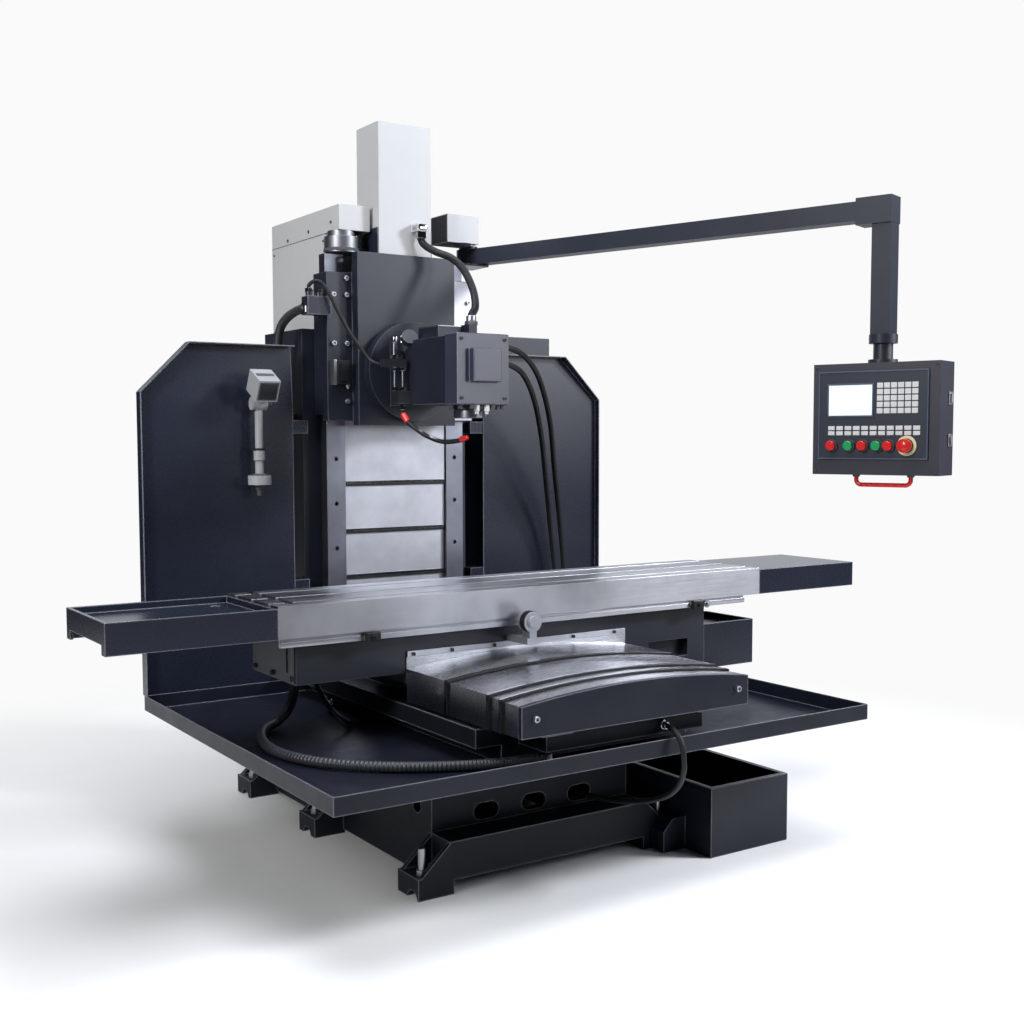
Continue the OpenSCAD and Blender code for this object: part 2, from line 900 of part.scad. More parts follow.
module y_cover_front() color(steel) cover_segment(2, cover_fronts[2], cover_fronts[2] + cover_len);

module y_cover_fixed() color(dark) {
    last = len(cover_fronts) - 1;
    half = cover_half - last * cover_step;
    corner = cover_corner - last * cover_step;
    cover_segment(last, cover_front, cover_front + cover_len - end_plate_t);
    prism_y(cover_front - end_plate_t, cover_front) polygon(arch(half, corner, cover_crown, cover_z0));
}

// Z way cover: flat panels between the rails, the top one in front
module z_panel(i, h) {
    y = panel_y + i * panel_pitch;
    block(-panel_half, panel_half, y, y + panel_t, panel_lows[i], panel_lows[i] + h);
}

// A panel with the lip that runs on the next panel
module running_panel(i, h) {
    y = panel_y + i * panel_pitch;
    z_panel(i, h);
    block(-panel_half, panel_half, y + panel_t, y + panel_pitch - slide_gap,
          panel_lows[i], panel_lows[i] + panel_lip_h);
}

module z_cover_top() color(steel) running_panel(0, gib_bottom - panel_lows[0]);

module z_cover_upper() color(steel) running_panel(1, panel_h);

module z_cover_lower() color(steel) running_panel(2, panel_h);

module z_cover_fixed() color(steel) {
    last = len(panel_lows) - 1;
    y = panel_y + last * panel_pitch;
    z_panel(last, panel_fixed_h);
    block(-panel_half, panel_half, y, column_front, panel_lows[last], panel_lows[last] + panel_t);
}

// Saddle and table
module dovetail(x0, x1, grow, z0, z1) {
    prism_x(x0, x1, [
        [saddle_mid - dovetail_foot_w / 2 - grow, z0], [saddle_mid + dovetail_foot_w / 2 + grow, z0],
        [saddle_mid + dovetail_top_w / 2 + grow, z1], [saddle_mid - dovetail_top_w / 2 - grow, z1]
    ]);
}

module saddle() color(dark) {
    difference() {
        union() {
            block(-saddle_half, saddle_half, -saddle_front, saddle_back, saddle_z0, saddle_top);
            block(-cover_half, cover_half, -saddle_front, saddle_back,
                  way_top + slide_gap, saddle_z0 + overrun);
            block(cover_half, saddle_half, -saddle_front, saddle_back, saddle_low, saddle_z0 + overrun);
        }
        block(window_x0, window_x1, -saddle_front - overrun, -saddle_front + cast_wall,
              window_z0, window_z1);
    }
    pair_x()
        block(way_mid + way_w / 2 + slide_gap, way_mid + way_w / 2 + cast_wall, -saddle_front, saddle_back,
              deck_top + cast_wall / 2, way_top + slide_gap);
    dovetail(-saddle_half, saddle_half, 0, saddle_top, saddle_top + dovetail_h);
}

module x_motor() color(dark) difference() {
    block(saddle_half, saddle_half + x_motor_len, x_motor_y0, x_motor_y1, x_motor_z0, x_motor_z1);
    block(saddle_half + x_motor_rim, saddle_half + x_motor_len - x_motor_rim, x_motor_y0 + x_motor_rim,
          x_motor_y1 - x_motor_rim, x_motor_z1 - x_motor_dip, x_motor_z1 + overrun);
}

module limit_switch() color(steel) {
    block(switch_x - switch_arm_w / 2, switch_x + switch_arm_w / 2, switch_y0, -saddle_front,
          switch_arm_z0, switch_arm_z1);
    block(switch_x - switch_post_w / 2, switch_x + switch_post_w / 2, switch_y0, switch_y1,
          switch_arm_z1, switch_z);
    rod_y(switch_x, switch_y0, switch_y1, switch_z, switch_d);
    rod_y(switch_x, switch_y0 - switch_cap_t, switch_y0, switch_z, switch_cap_d);
}

module t_slot(y) {
    x0 = table_x0 - overrun;
    x1 = table_x1 + overrun;
    foot_half = slot_w * slot_foot_share / 2;
    block(x0, x1, y - slot_w / 2, y + slot_w / 2, table_top - slot_deep, table_top + overrun);
    block(x0, x1, y - foot_half, y + foot_half, table_top - slot_deep - slot_foot_h, table_top - slot_deep);
}

module table() color(steel) difference() {
    block(table_x0, table_x1, table_front, table_back, table_z0, table_top);
    for (i = [0 : slot_count - 1])
        t_slot(table_front + (i + 0.5) * table_w / slot_count);
    block(table_x0 + trough_in, table_x0 + trough_in + trough_w, table_front + trough_in / 2,
          table_back + overrun, table_top - trough_deep, table_top + overrun);
    table_groove(table_x0 - overrun, table_x1 + overrun);
}

module table_groove(x0, x1) {
    dovetail(x0, x1, slide_gap, table_z0 - slide_gap, table_z0 + dovetail_h);
}

module left_end_tray() color(dark) {
    x0 = table_x0 - end_tray_len;
    difference() {
        block(x0, table_x0, table_front, table_back, table_z0, end_tray_top);
        block(x0 + tray_edge, table_x0 - tray_edge, table_front + tray_edge, table_back - tray_edge,
              end_tray_top - tray_deep, end_tray_top + overrun);
        block(x0 + tray_edge, table_x0 - tray_edge, table_front + tray_edge, table_back - tray_edge,
              table_z0 - overrun, end_tray_top - tray_deep - sheet_t);
        rod_z(table_x0 - drain_in, table_back - drain_in, table_z0, end_tray_top, drain_d);
        block(x0 - overrun, x0 + tray_edge + overrun, table_front + leg_w, table_back - leg_w,
              table_z0 - overrun, table_z0 + leg_h);
        table_groove(x0 - overrun, table_x0 + overrun);
    }
}

module right_end_tray() color(dark) {
    x1 = table_x1 + end_tray_len + right_tray_extra;
    difference() {
        block(table_x1, x1, table_front, table_back, table_z0, end_tray_top);
        block(table_x1 + tray_edge, x1 - tray_edge, table_front + tray_edge, table_back - tray_edge,
              table_z0 - overrun, end_tray_top - sheet_t);
        table_groove(table_x1 - overrun, x1 + overrun);
    }
}

module dog_rail() color(steel) {
    x0 = table_x0 + dog_rail_in;
    x1 = table_x1 - dog_rail_short;
    block(x0, x1, table_front + dog_rail_y0, table_front + dog_rail_y1,
          table_z0 - dog_rail_h, table_z0 - dog_rail_neck);
    block(x0, x1, table_front + dog_rail_y0 + dog_neck_in, table_front + dog_rail_y1,
          table_z0 - dog_rail_h, table_z0);
    for (x = dog_xs)
        block(x - dog_w / 2, x + dog_w / 2, table_front - dog_out, table_front + dog_rail_y0,
              table_z0 - dog_rail_h - dog_drop, table_z0 - dog_drop);
}

// Head
module nut_bore() {
    rod_z(screw_x, screw_y, nut_z0 - overrun, nut_z1 + overrun, screw_d + 2 * swing_gap);
}

module keeper() {
    block(rails_w / 2 + slide_gap, gib_w / 2, rail_y - slide_gap, keeper_back, keeper_z0, gib_top);
    block(keeper_in, gib_w / 2, pillar_front + slide_gap, keeper_back, keeper_z0, gib_top);
}

module head_slide() color(dark) difference() {
    union() {
        block(-slide_w / 2, slide_w / 2, slide_front, gib_front, slide_bottom, slide_top);
        block(-gib_w / 2, gib_w / 2, gib_front, rail_y - slide_gap, gib_bottom, gib_top);
        block(-tongue_w / 2, tongue_w / 2, rail_y - slide_gap, tongue_back, gib_bottom, gib_top);
        block(-seat_w / 2, seat_w / 2, gib_front, tongue_back, gib_top, slide_top);
        block(screw_x - screw_d, screw_x + screw_d, tongue_back, screw_y + screw_d, nut_z0, nut_z1);
        pair_x() keeper();
    }
    rod_y(0, slide_front - overrun, gib_front, swivel_z, spigot_d + 2 * slide_gap);
    nut_bore();
}

module motor_cover() color(white) {
    half = motor_cover_w / 2;
    difference() {
        block(-half, half, motor_y0, motor_y1, motor_z0, motor_z0 + motor_cover_h);
        block(-half + sheet_t, half - sheet_t, motor_y0 + sheet_t, motor_y1 - sheet_t,
              motor_z0 - overrun, motor_z0 + motor_cover_h - sheet_t);
    }
    block(gland_x - gland_w / 2, gland_x + gland_w / 2, motor_y0 - gland_out, motor_y0,
          gland_z, gland_z + gland_h);
}

module spindle_motor() color(dark)
    rod_z(0, (motor_y0 + motor_y1) / 2, motor_z0, motor_z0 + motor_h, motor_d);

module valve_block() color(dark) {
    block(-gib_w / 2 - valve_len, -gib_w / 2, valve_y - valve_w / 2, valve_y + valve_w / 2,
          valve_z0, valve_z1);
    for (x = valve_ports) rod_z(x, valve_y, valve_z1, valve_z1 + port_h, port_d);
}

module headstock() color(dark) difference() {
    union() {
        rod_y(0, disc_front, slide_front - slide_gap, swivel_z, disc_d);
        rod_y(0, slide_front - slide_gap, gib_front - swing_gap, swivel_z, spigot_d);
        block(-stock_w / 2, stock_w / 2, stock_nose, disc_front, stock_z0, stock_z1);
        block(-hump_w / 2, hump_w / 2, -hump_l / 2, hump_l / 2, stock_z1, stock_z1 + hump_h);
        block(stock_w / 2 - socket_w, stock_w / 2, socket_y - socket_l / 2, socket_y + socket_l / 2,
              stock_z1, stock_z1 + socket_h);
        for (z = hose_ports) rod_x(stock_w / 2, stock_w / 2 + hose_port_l, hose_port_y, z, hose_port_d);
        translate(worm_at) rotate(worm_turn) cylinder(d = worm_d, h = worm_l);
        rod_z(0, -spindle_y, quill_z, stock_z0, quill_d);
    }
    rod_z(0, -spindle_y, quill_z - overrun, quill_top + swing_gap, bore_d);
}

module gearbox_cover() color(dark) {
    difference() {
        block(-cover_w / 2, cover_w / 2, cover_face, stock_front,
              stock_z0 - cover_rim, stock_z1 + cover_rim);
        block(-stock_w / 2, stock_w / 2, stock_nose, stock_front + overrun, quill_z, stock_z1);
    }
    block(-pad_size / 2, pad_size / 2, cover_face - pad_raise, cover_face,
          swivel_z - pad_size / 2, swivel_z + pad_size / 2);
}

module coolant_manifold() color(steel) {
    block(-nozzle_x, -stock_w / 2, nozzle_y0, nozzle_y1, nozzle_z0, nozzle_z1);
    for (p = riser_places) rod_z(p[0], p[1], nozzle_z1, tee_z0, riser_d);
    block(tee_x0, tee_x1, tee_y0, tee_y1, tee_z0, tee_z1);
    rod_z(riser_places[0][0], riser_places[0][1], tee_z1, tee_z1 + stub_h, stub_d);
    tube_along(nozzle_route, nozzle_d, 10);
}

module spindle() color(steel) difference() {
    union() {
        rod_z(0, -spindle_y, quill_z - swing_gap, quill_top, bore_d - 2 * swing_gap);
        rod_z(0, -spindle_y, nose_z, quill_z - swing_gap, nose_d);
    }
    translate([0, -spindle_y, nose_z]) cylinder(d1 = taper_d, d2 = taper_end_d, h = taper_len);
    rod_z(0, -spindle_y, nose_z + taper_len, quill_top + overrun, taper_end_d);
    rod_z(0, -spindle_y, nose_z - overrun, nose_z, taper_d);
}

// Pendant
module at_post() {
    translate([post_x, post_y, 0]) rotate([0, 0, arm_turn]) children();
}

module at_pendant() {
    translate([arm_end[0], arm_end[1], 0]) rotate([0, 0, arm_turn]) children();
}

module pendant_arm() color(dark) difference() {
    union() {
        rod_z(post_x, post_y, hub_bottom, hub_top, hub_d);
        at_post() block(arm_root, arm_len, -arm_tube / 2, arm_tube / 2, hub_bottom, hub_top);
        at_pendant() {
            block(-elbow_in, elbow_l - elbow_in, -elbow_w / 2, elbow_w / 2, elbow_z, elbow_z + elbow_h);
            block(-drop_w / 2, drop_w / 2, -drop_w / 2, drop_w / 2, drop_z, elbow_z);
            rod_z(0, 0, drop_z - collar_h, drop_z, collar_d);
        }
    }
    rod_z(post_x, post_y, hub_bottom - overrun, hub_top + overrun, post_d + 2 * slide_gap);
    at_post() block(hub_d / 2, arm_len, arm_wall - arm_tube / 2, arm_tube / 2 - arm_wall,
                    hub_bottom + arm_wall, hub_top - arm_wall);
    at_pendant() {
        block(arm_wall - drop_w / 2, drop_w / 2 - arm_wall, arm_wall - drop_w / 2, drop_w / 2 - arm_wall,
              drop_z, elbow_z + elbow_h - arm_wall);
        rod_z(0, 0, drop_z - collar_h - overrun, drop_z + overrun, pin_d + 2 * slide_gap);
    }
}

module wells(d) {
    for (x = concat(button_xs, [stop_x]))
        rod_y(x, panel_face - bezel_h - overrun, well_back, button_z, d);
}

module pendant_case() color(dark) at_pendant() {
    difference() {
        block(-case_w / 2, case_w / 2, -case_d / 2, case_d / 2, case_top - case_h, case_top);
        block(case_wall - case_w / 2, case_w / 2 - case_wall, case_wall - case_d / 2, case_d / 2 - case_wall,
              case_top - case_h + case_wall, case_top - case_wall);
        wells(well_d);
    }
    rod_z(0, 0, case_top, case_top + neck_flange_h, neck_flange_d);
    rod_z(0, 0, case_top + neck_flange_h, drop_z - collar_h - slide_gap, neck_d);
    rod_z(0, 0, drop_z - collar_h - slide_gap, drop_z - collar_h + pin_h, pin_d);
}

module pendant_panel() color(dark) at_pendant() difference() {
    union() {
        block(panel_x0, panel_x1, panel_face, -case_d / 2, panel_z0, panel_z1);
        for (x = button_xs) rod_y(x, panel_face - bezel_h, panel_face, button_z, bezel_d);
        rod_y(stop_x, panel_face - stop_ring_t, panel_face, button_z, stop_ring_d);
    }
    wells(well_d);
    for (x = button_xs)
        rod_y(x, panel_face - bezel_h - overrun, panel_face, button_z, button_d + 2 * swing_gap);
}

module pendant_screen() color(white) at_pendant()
    block(screen_x0, screen_x1, panel_face - screen_t, panel_face, screen_z0, screen_z1);

module key(x, z, w, h) {
    block(x, x + w, panel_face - key_t, panel_face, z, z + h);
}

module pendant_keys() color(white) at_pendant() {
    for (i = [0 : pad_columns - 1])
        for (j = [0 : pad_rows - 1])
            key(pad_x0 + i * pad_pitch_x, pad_z1 - j * pad_pitch_z, pad_key_w, pad_key_h);
    for (i = [0 : row_keys - 1])
        for (j = [0 : row_rows - 1])
            key(row_x0 + i * row_pitch, row_z0 + j * row_step, row_key_w, row_key_h);
}

module pendant_handle() color(red) at_pendant() {
    z = case_top - case_h;
    for (x = handle_xs) rod_z(x, handle_y, z - handle_drop, z, handle_d);
    rod_x(handle_xs[0] - handle_d / 2, handle_xs[1] + handle_d / 2, handle_y, z - handle_drop, handle_d);
}

// A push button: cap above a stem that runs in its well
module push_button(x, face, d, h) {
    rod_y(x, face - press_gap - h, face - press_gap, button_z, d);
    rod_y(x, face - press_gap, panel_face + stem_deep, button_z, button_stem_d);
}

module numbered_button(i) color(button_colours[i]) at_pendant()
    push_button(button_xs[i], panel_face, button_d, button_h);

module button_1() numbered_button(0);

module button_2() numbered_button(1);

module button_3() numbered_button(2);

module button_4() numbered_button(3);

module button_5() numbered_button(4);

module emergency_stop() color(red) at_pendant()
    push_button(stop_x, panel_face - stop_ring_t, stop_d, stop_h);

// Work lamp
module lamp_base() color(white) {
    block(lamp_x - lamp_arm_w / 2, lamp_x + lamp_arm_w / 2, lamp_y, guard_y, lamp_base_z, lamp_foot_top);
    rod_z(lamp_x, lamp_y, lamp_base_z, lamp_foot_top, lamp_foot_d);
    rod_z(lamp_x, lamp_y, lamp_foot_top, lamp_neck_z, lamp_neck_d);
    rod_z(lamp_x, lamp_y, lamp_neck_z, lamp_neck_z + lamp_pin_h, lamp_pin_d);
}

module lamp_stem() color(white) difference() {
    union() {
        rod_z(lamp_x, lamp_y, lamp_neck_z + slide_gap, lamp_neck_z + lamp_knob_h, lamp_knob_d);
        rod_z(lamp_x, lamp_y, lamp_neck_z + lamp_knob_h, lamp_ball_z, lamp_tube_d);
        rod_x(lamp_x - lamp_joint_half, lamp_x + lamp_joint_half, lamp_y, lamp_ball_z, lamp_joint_d);
    }
    rod_z(lamp_x, lamp_y, lamp_neck_z, lamp_neck_z + lamp_pin_h + swing_gap, lamp_pin_d + 2 * slide_gap);
}

module lamp_head() color(white) translate([lamp_x, lamp_y, lamp_ball_z]) {
    ear_in = lamp_joint_half + slide_gap;
    ear_out = ear_in + lamp_ear_t;
    pair_x() rod_x(ear_in, ear_out, 0, 0, lamp_ear_d);
    rotate([lamp_tilt, 0, 0]) {
        pair_x() block(ear_in, ear_out, -lamp_ear_d / 4, lamp_ear_d / 4, 0, lamp_head_z0 + overrun);
        block(-lamp_head_w / 2, lamp_head_w / 2, lamp_head_y0, lamp_head_y1, lamp_head_z0, lamp_head_z1);
    }
}

// Cords
module head_conduit() color(black) tube_along(head_conduit_route, head_conduit_d, 10);

module supply_conduit() color(black) tube_along(supply_route, supply_d, 10);

module coolant_hose() color(black) tube_along(coolant_route, coolant_d, 8);

module right_hose_upper() color(black) tube_along(right_upper_route, right_d, 8);

module right_hose_lower() color(black) tube_along(right_lower_route, right_d, 8);

module tray_conduit() color(black) tube_along(tray_conduit_route, tray_conduit_d, 8);

module front_cable() color(black) tube_along(front_cable_route, front_cable_d, 8);

bed_casting();
levelling_bolts();
chip_tray();
left_guard();
right_guard();
column();
z_rails();
drive_cabinet();
belt_cover();
z_motor();
z_ball_screw();
arm_pivot();
junction_box();
electrical_cabinet();
coolant_tank();
y_cover_fixed();
z_cover_fixed();
lamp_base();
saddle();
y_cover_carrier();
x_motor();
limit_switch();
table();
left_end_tray();
right_end_tray();
dog_rail();
y_cover_rear();
y_cover_front();
z_cover_upper();
z_cover_lower();
z_cover_top();
head_slide();
motor_cover();
spindle_motor();
valve_block();
headstock();
gearbox_cover();
coolant_manifold();
spindle();
pendant_arm();
pendant_case();
pendant_panel();
pendant_screen();
pendant_keys();
pendant_handle();
button_1();
button_2();
button_3();
button_4();
button_5();
emergency_stop();
lamp_stem();
lamp_head();
head_conduit();
supply_conduit();
coolant_hose();
right_hose_upper();
right_hose_lower();
tray_conduit();
front_cable();
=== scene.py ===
"""Looks of the bed-type milling machine: finishes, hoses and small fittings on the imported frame."""

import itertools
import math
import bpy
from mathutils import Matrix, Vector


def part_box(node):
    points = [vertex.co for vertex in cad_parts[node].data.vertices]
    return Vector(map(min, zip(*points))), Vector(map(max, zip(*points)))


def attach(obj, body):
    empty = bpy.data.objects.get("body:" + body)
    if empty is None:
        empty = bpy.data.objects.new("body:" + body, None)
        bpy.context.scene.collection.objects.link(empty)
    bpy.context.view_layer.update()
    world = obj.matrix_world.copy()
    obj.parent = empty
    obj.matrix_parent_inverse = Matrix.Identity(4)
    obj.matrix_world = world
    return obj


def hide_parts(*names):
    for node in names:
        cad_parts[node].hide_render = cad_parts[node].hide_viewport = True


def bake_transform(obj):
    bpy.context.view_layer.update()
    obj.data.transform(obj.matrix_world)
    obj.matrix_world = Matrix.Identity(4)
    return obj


bl_info = {
    "name": "Bed mill looks",
    "version": (1, 0, 0),
    "blender": (4, 5, 0),
    "location": "View3D > Sidebar > Mill",
    "description": "Finishes, hoses, screws and fittings of a bed-type CNC milling machine",
    "category": "Object",
}

import bmesh
import bpy
from mathutils import Matrix, Vector

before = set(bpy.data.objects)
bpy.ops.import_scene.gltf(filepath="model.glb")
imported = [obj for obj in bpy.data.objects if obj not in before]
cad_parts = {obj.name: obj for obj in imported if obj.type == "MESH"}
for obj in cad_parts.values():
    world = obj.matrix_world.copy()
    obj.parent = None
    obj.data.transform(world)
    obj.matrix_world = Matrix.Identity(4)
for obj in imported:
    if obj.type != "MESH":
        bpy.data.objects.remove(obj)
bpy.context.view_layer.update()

MM = 0.001
SHARP_FROM = math.radians(32)  # steeper edges of the added pieces stay sharp
EASED_FROM = math.radians(40)  # steeper edges of the CAD pieces are rounded
FLAT_UNDER = math.radians(1)  # CAD facets that meet flatter than this are joined
FLAT_PULL = 60  # weight of large faces in the shading of the roundings beside them
ROUTE_STEPS = 6  # points of a smooth cord for each point of its route
WASHER = 2.5  # thickness of the washer under a hexagon bolt

LEFT, RIGHT, FRONT = (-1, 0, 0), (1, 0, 0), (0, -1, 0)
UP, DOWN = (0, 0, 1), (0, 0, -1)
SIDES = (-1, 1)


# Shared helpers; places and sizes are in millimetres

def mm(x, y, z):
    """A point given in millimetres, in metres."""
    return Vector((x, y, z)) * MM


def box_mm(name):
    """Lowest and highest corner of a CAD node."""
    low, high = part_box(name)
    return Vector(low) / MM, Vector(high) / MM


def linear(code):
    """Linear RGBA of an sRGB hex colour."""
    parts = [int(code[i:i + 2], 16) / 255 for i in (1, 3, 5)]
    return [c / 12.92 if c <= 0.04045 else ((c + 0.055) / 1.055) ** 2.4 for c in parts] + [1.0]


def facing(direction):
    """The turn that lays +Z along a direction."""
    return Vector(direction).to_track_quat("Z", "Y").to_matrix().to_4x4()


def link(name, data):
    """A new object in the scene that shows a mesh, curve, light or camera."""
    obj = bpy.data.objects.new(name, data)
    bpy.context.scene.collection.objects.link(obj)
    return obj


def ease(bm, edges, width):
    """Round edges off by a width."""
    bmesh.ops.bevel(bm, geom=list(edges), offset=width * MM, offset_type="OFFSET", affect="EDGES",
                    segments=2, profile=0.5, material=-1, clamp_overlap=True)


def rod(bm, start, end, diameter, rim=1.5, sides=24, taper=1.0):
    """A round bar between two points, its rims eased by rim."""
    start, end = mm(*start), mm(*end)
    place = Matrix.Translation((start + end) / 2) @ facing(end - start)
    made = bmesh.ops.create_cone(
        bm, cap_ends=True, segments=sides, radius1=diameter / 2 * MM, radius2=diameter / 2 * taper * MM,
        depth=(end - start).length, matrix=place)
    caps = {f for v in made["verts"] for f in v.link_faces if len(f.verts) == sides}
    ease(bm, {e for f in caps for e in f.edges}, rim)


def nut(bm, start, end, corners, rim=1.5):
    """A hexagon between two points, measured over its corners."""
    rod(bm, start, end, corners, rim, sides=6)


def slab(bm, low, high, rim):
    """A block between two corners, its edges eased by rim."""
    low, high = Vector(low), Vector(high)
    place = Matrix.Translation((low + high) / 2 * MM) @ Matrix.Diagonal((*((high - low) * MM), 1.0))
    made = bmesh.ops.create_cube(bm, size=1.0, matrix=place)
    if rim:
        ease(bm, {e for v in made["verts"] for e in v.link_edges}, rim)


def turned(bm, at, axis, profile, sides):
    """A lathe-turned form: profile is (radius, height) pairs along the axis from at."""
    sides = sides
    place = Matrix.Translation(mm(*at)) @ facing(axis)
    verts = [bm.verts.new(place @ mm(r, 0, h)) for r, h in profile]
    edges = [bm.edges.new(pair) for pair in zip(verts, verts[1:])]
    bmesh.ops.spin(bm, geom=verts + edges, cent=mm(*at), axis=Vector(axis).normalized(), dvec=(0, 0, 0),
                   angle=math.tau, steps=sides, use_merge=True)


def prism(bm, outline, depth, rim=0.0):
    """A flat outline of points pushed along a depth vector."""
    face = bm.faces.new([bm.verts.new(mm(*p)) for p in outline])
    made = bmesh.ops.extrude_face_region(bm, geom=[face])
    moved = [g for g in made["geom"] if isinstance(g, bmesh.types.BMVert)]
    bmesh.ops.translate(bm, verts=moved, vec=mm(*depth))
    if rim:
        ease(bm, {e for v in list(face.verts) + moved for e in v.link_edges}, rim)


def cap_screw(bm, at, axis, diameter, height):
    """A socket-head screw: turned head with an eased rim and a sunk drive."""
    r = diameter / 2
    floor = height * 0.45
    turned(bm, at, axis, [(0, floor), (r * 0.5, floor), (r * 0.52, height), (r * 0.88, height),
                          (r, height * 0.86), (r, 0), (0, 0)], sides=18)


def pan_screw(bm, at, axis, diameter, height):
    """A domed screw head with a sunk drive."""
    r = diameter / 2
    turned(bm, at, axis, [(0, height * 0.5), (r * 0.34, height * 0.55), (r * 0.4, height),
                          (r * 0.75, height * 0.8), (r, height * 0.25), (r, 0), (0, 0)], sides=16)


def hex_bolt(bm, at, axis, across, height):
    """A hexagon bolt head on its washer."""
    wide, corner = across * 0.92, across * 0.577 * MM
    turned(bm, at, axis, [(0, WASHER), (across * 0.86, WASHER), (wide, 1.8), (wide, 0), (0, 0)], sides=24)
    place = Matrix.Translation(mm(*at)) @ facing(axis) @ Matrix.Translation(mm(0, 0, WASHER + height / 2))
    made = bmesh.ops.create_cone(bm, cap_ends=True, segments=6, radius1=corner, radius2=corner,
                                 depth=height * MM, matrix=place)
    ease(bm, {e for v in made["verts"] for e in v.link_edges}, height * 0.12)


def screws(bm, kind, xs, ys, zs, axis, diameter, height):
    """Screws of one kind at every crossing of the given places."""
    for at in itertools.product(xs, ys, zs):
        kind(bm, at, axis, diameter, height)


def strips(low, high, width):
    """Low and high corners of four strips, butted without mitres, that frame a rectangle."""
    (x0, y0), (x1, y1) = low, high
    return (((x0, y0), (x1, y0 + width)), ((x0, y1 - width), (x1, y1)),
            ((x0, y0 + width), (x0 + width, y1 - width)), ((x1 - width, y0 + width), (x1, y1 - width)))


def piece(name, bm, material, body, place=None):
    """Make a bmesh an object on a CAD body; place turns it."""
    if place:
        bmesh.ops.transform(bm, matrix=place, verts=bm.verts)
    bmesh.ops.remove_doubles(bm, verts=bm.verts, dist=1e-6)
    bmesh.ops.recalc_face_normals(bm, faces=bm.faces)
    mesh = bpy.data.meshes.new(name)
    bm.to_mesh(mesh)
    bm.free()
    mesh.shade_smooth()
    mesh.set_sharp_from_angle(angle=SHARP_FROM)
    mesh.materials.append(bpy.data.materials[material])
    obj = link(name, mesh)
    shade = obj.modifiers.new("shade", "WEIGHTED_NORMAL")
    shade.weight = FLAT_PULL
    shade.keep_sharp = True
    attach(obj, body)


def plates(name, blocks, material, body, place=None):
    """A piece of plain blocks, each given by its low corner, its high corner and its rounding."""
    bm = bmesh.new()
    for low, high, rim in blocks:
        slab(bm, low, high, rim)
    piece(name, bm, material, body, place)


def lathe(name, forms, material, body, place=None):
    """A piece of turned forms, each given by its foot, its axis, its profile and its sides."""
    bm = bmesh.new()
    for form in forms:
        turned(bm, *form)
    piece(name, bm, material, body, place)


def smooth_route(points):
    """Points along a smooth curve through the given ones, in metres."""
    pts = [mm(*p) for p in points]
    ends = [pts[0] * 2 - pts[1]] + pts + [pts[-1] * 2 - pts[-2]]
    out = []
    for a, b, c, d in zip(ends, ends[1:], ends[2:], ends[3:]):
        for k in range(ROUTE_STEPS):
            t = k / ROUTE_STEPS
            out.append(0.5 * (2 * b + (c - a) * t + (2 * a - 5 * b + 4 * c - d) * t ** 2
                              + (3 * b - a - 3 * c + d) * t ** 3))
    return out + [pts[-1]]


def tube(name, points, diameter, material, rings=8):
    """A round tube along points in metres, as a mesh with a UV map along its length."""
    curve = bpy.data.curves.new(name, "CURVE")
    curve.dimensions = "3D"
    curve.bevel_depth = diameter / 2 * MM
    curve.bevel_resolution = rings // 2
    curve.use_fill_caps = True
    spline = curve.splines.new("POLY")
    spline.points.add(len(points) - 1)
    for point, place in zip(spline.points, points):
        point.co = (*place, 1.0)
    shape = link(name + "_route", curve)
    bpy.context.view_layer.update()
    mesh = bpy.data.meshes.new_from_object(shape.evaluated_get(bpy.context.evaluated_depsgraph_get()))
    bpy.data.objects.remove(shape)
    bpy.data.curves.remove(curve)
    mesh.name = name
    mesh.shade_smooth()
    mesh.materials.clear()
    mesh.materials.append(bpy.data.materials[material])
    return link(name, mesh)


# Finishes

METAL = 1.0
BRUSH_TURN = 0.25  # a quarter turn lays the stretched glints across the brushing
DRIFT = (0.3, 0.7)  # span of the slow noise over which the darker colour turns lighter
RUB_AND_GLINT_START, RUB_AND_GLINT_FULL = 0.99, 0.86  # cosines at an edge where the lighter colour of paint wear and painted highlight begins and is complete
RIB_PITCH, RIB_DEPTH = 6.0, 1.32  # rings of a corrugated conduit
RIB_RUN = 1000.0  # length that a conduit's UV map stands for


def node(tree, kind, settings=None, **links):
    """Add a shader node; settings are properties or socket values, links name sockets to join."""
    made = tree.nodes.new(kind)
    for key, value in (settings or {}).items():
        if hasattr(made, key):
            setattr(made, key, value)
        else:
            made.inputs[key].default_value = value
    for key, source in links.items():
        tree.links.new(source, made.inputs[key.replace("_", " ")])
    return made


def rubbed_and_lit_edge(tree, colour, edge, rub_and_glint_mm):
    """The colour of paint made lighter along its edges: paint wear, and a painted highlight of the rounded
    edge.
    """
    surface = node(tree, "ShaderNodeNewGeometry").outputs["True Normal"]
    rounded = node(tree, "ShaderNodeBevel", {"samples": 4, "Radius": rub_and_glint_mm * MM}).outputs["Normal"]
    flat = node(tree, "ShaderNodeVectorMath", {"operation": "DOT_PRODUCT"})
    tree.links.new(surface, flat.inputs[0])
    tree.links.new(rounded, flat.inputs[1])
    worn_and_lit = node(tree, "ShaderNodeMapRange", {"From Min": RUB_AND_GLINT_START, "From Max": RUB_AND_GLINT_FULL},
                Value=flat.outputs["Value"])
    mixed = node(tree, "ShaderNodeMix", {"data_type": "RGBA"})
    mixed.inputs[7].default_value = linear(edge)
    tree.links.new(worn_and_lit.outputs["Result"], mixed.inputs[0])
    tree.links.new(colour, mixed.inputs[6])
    return mixed.outputs[2]


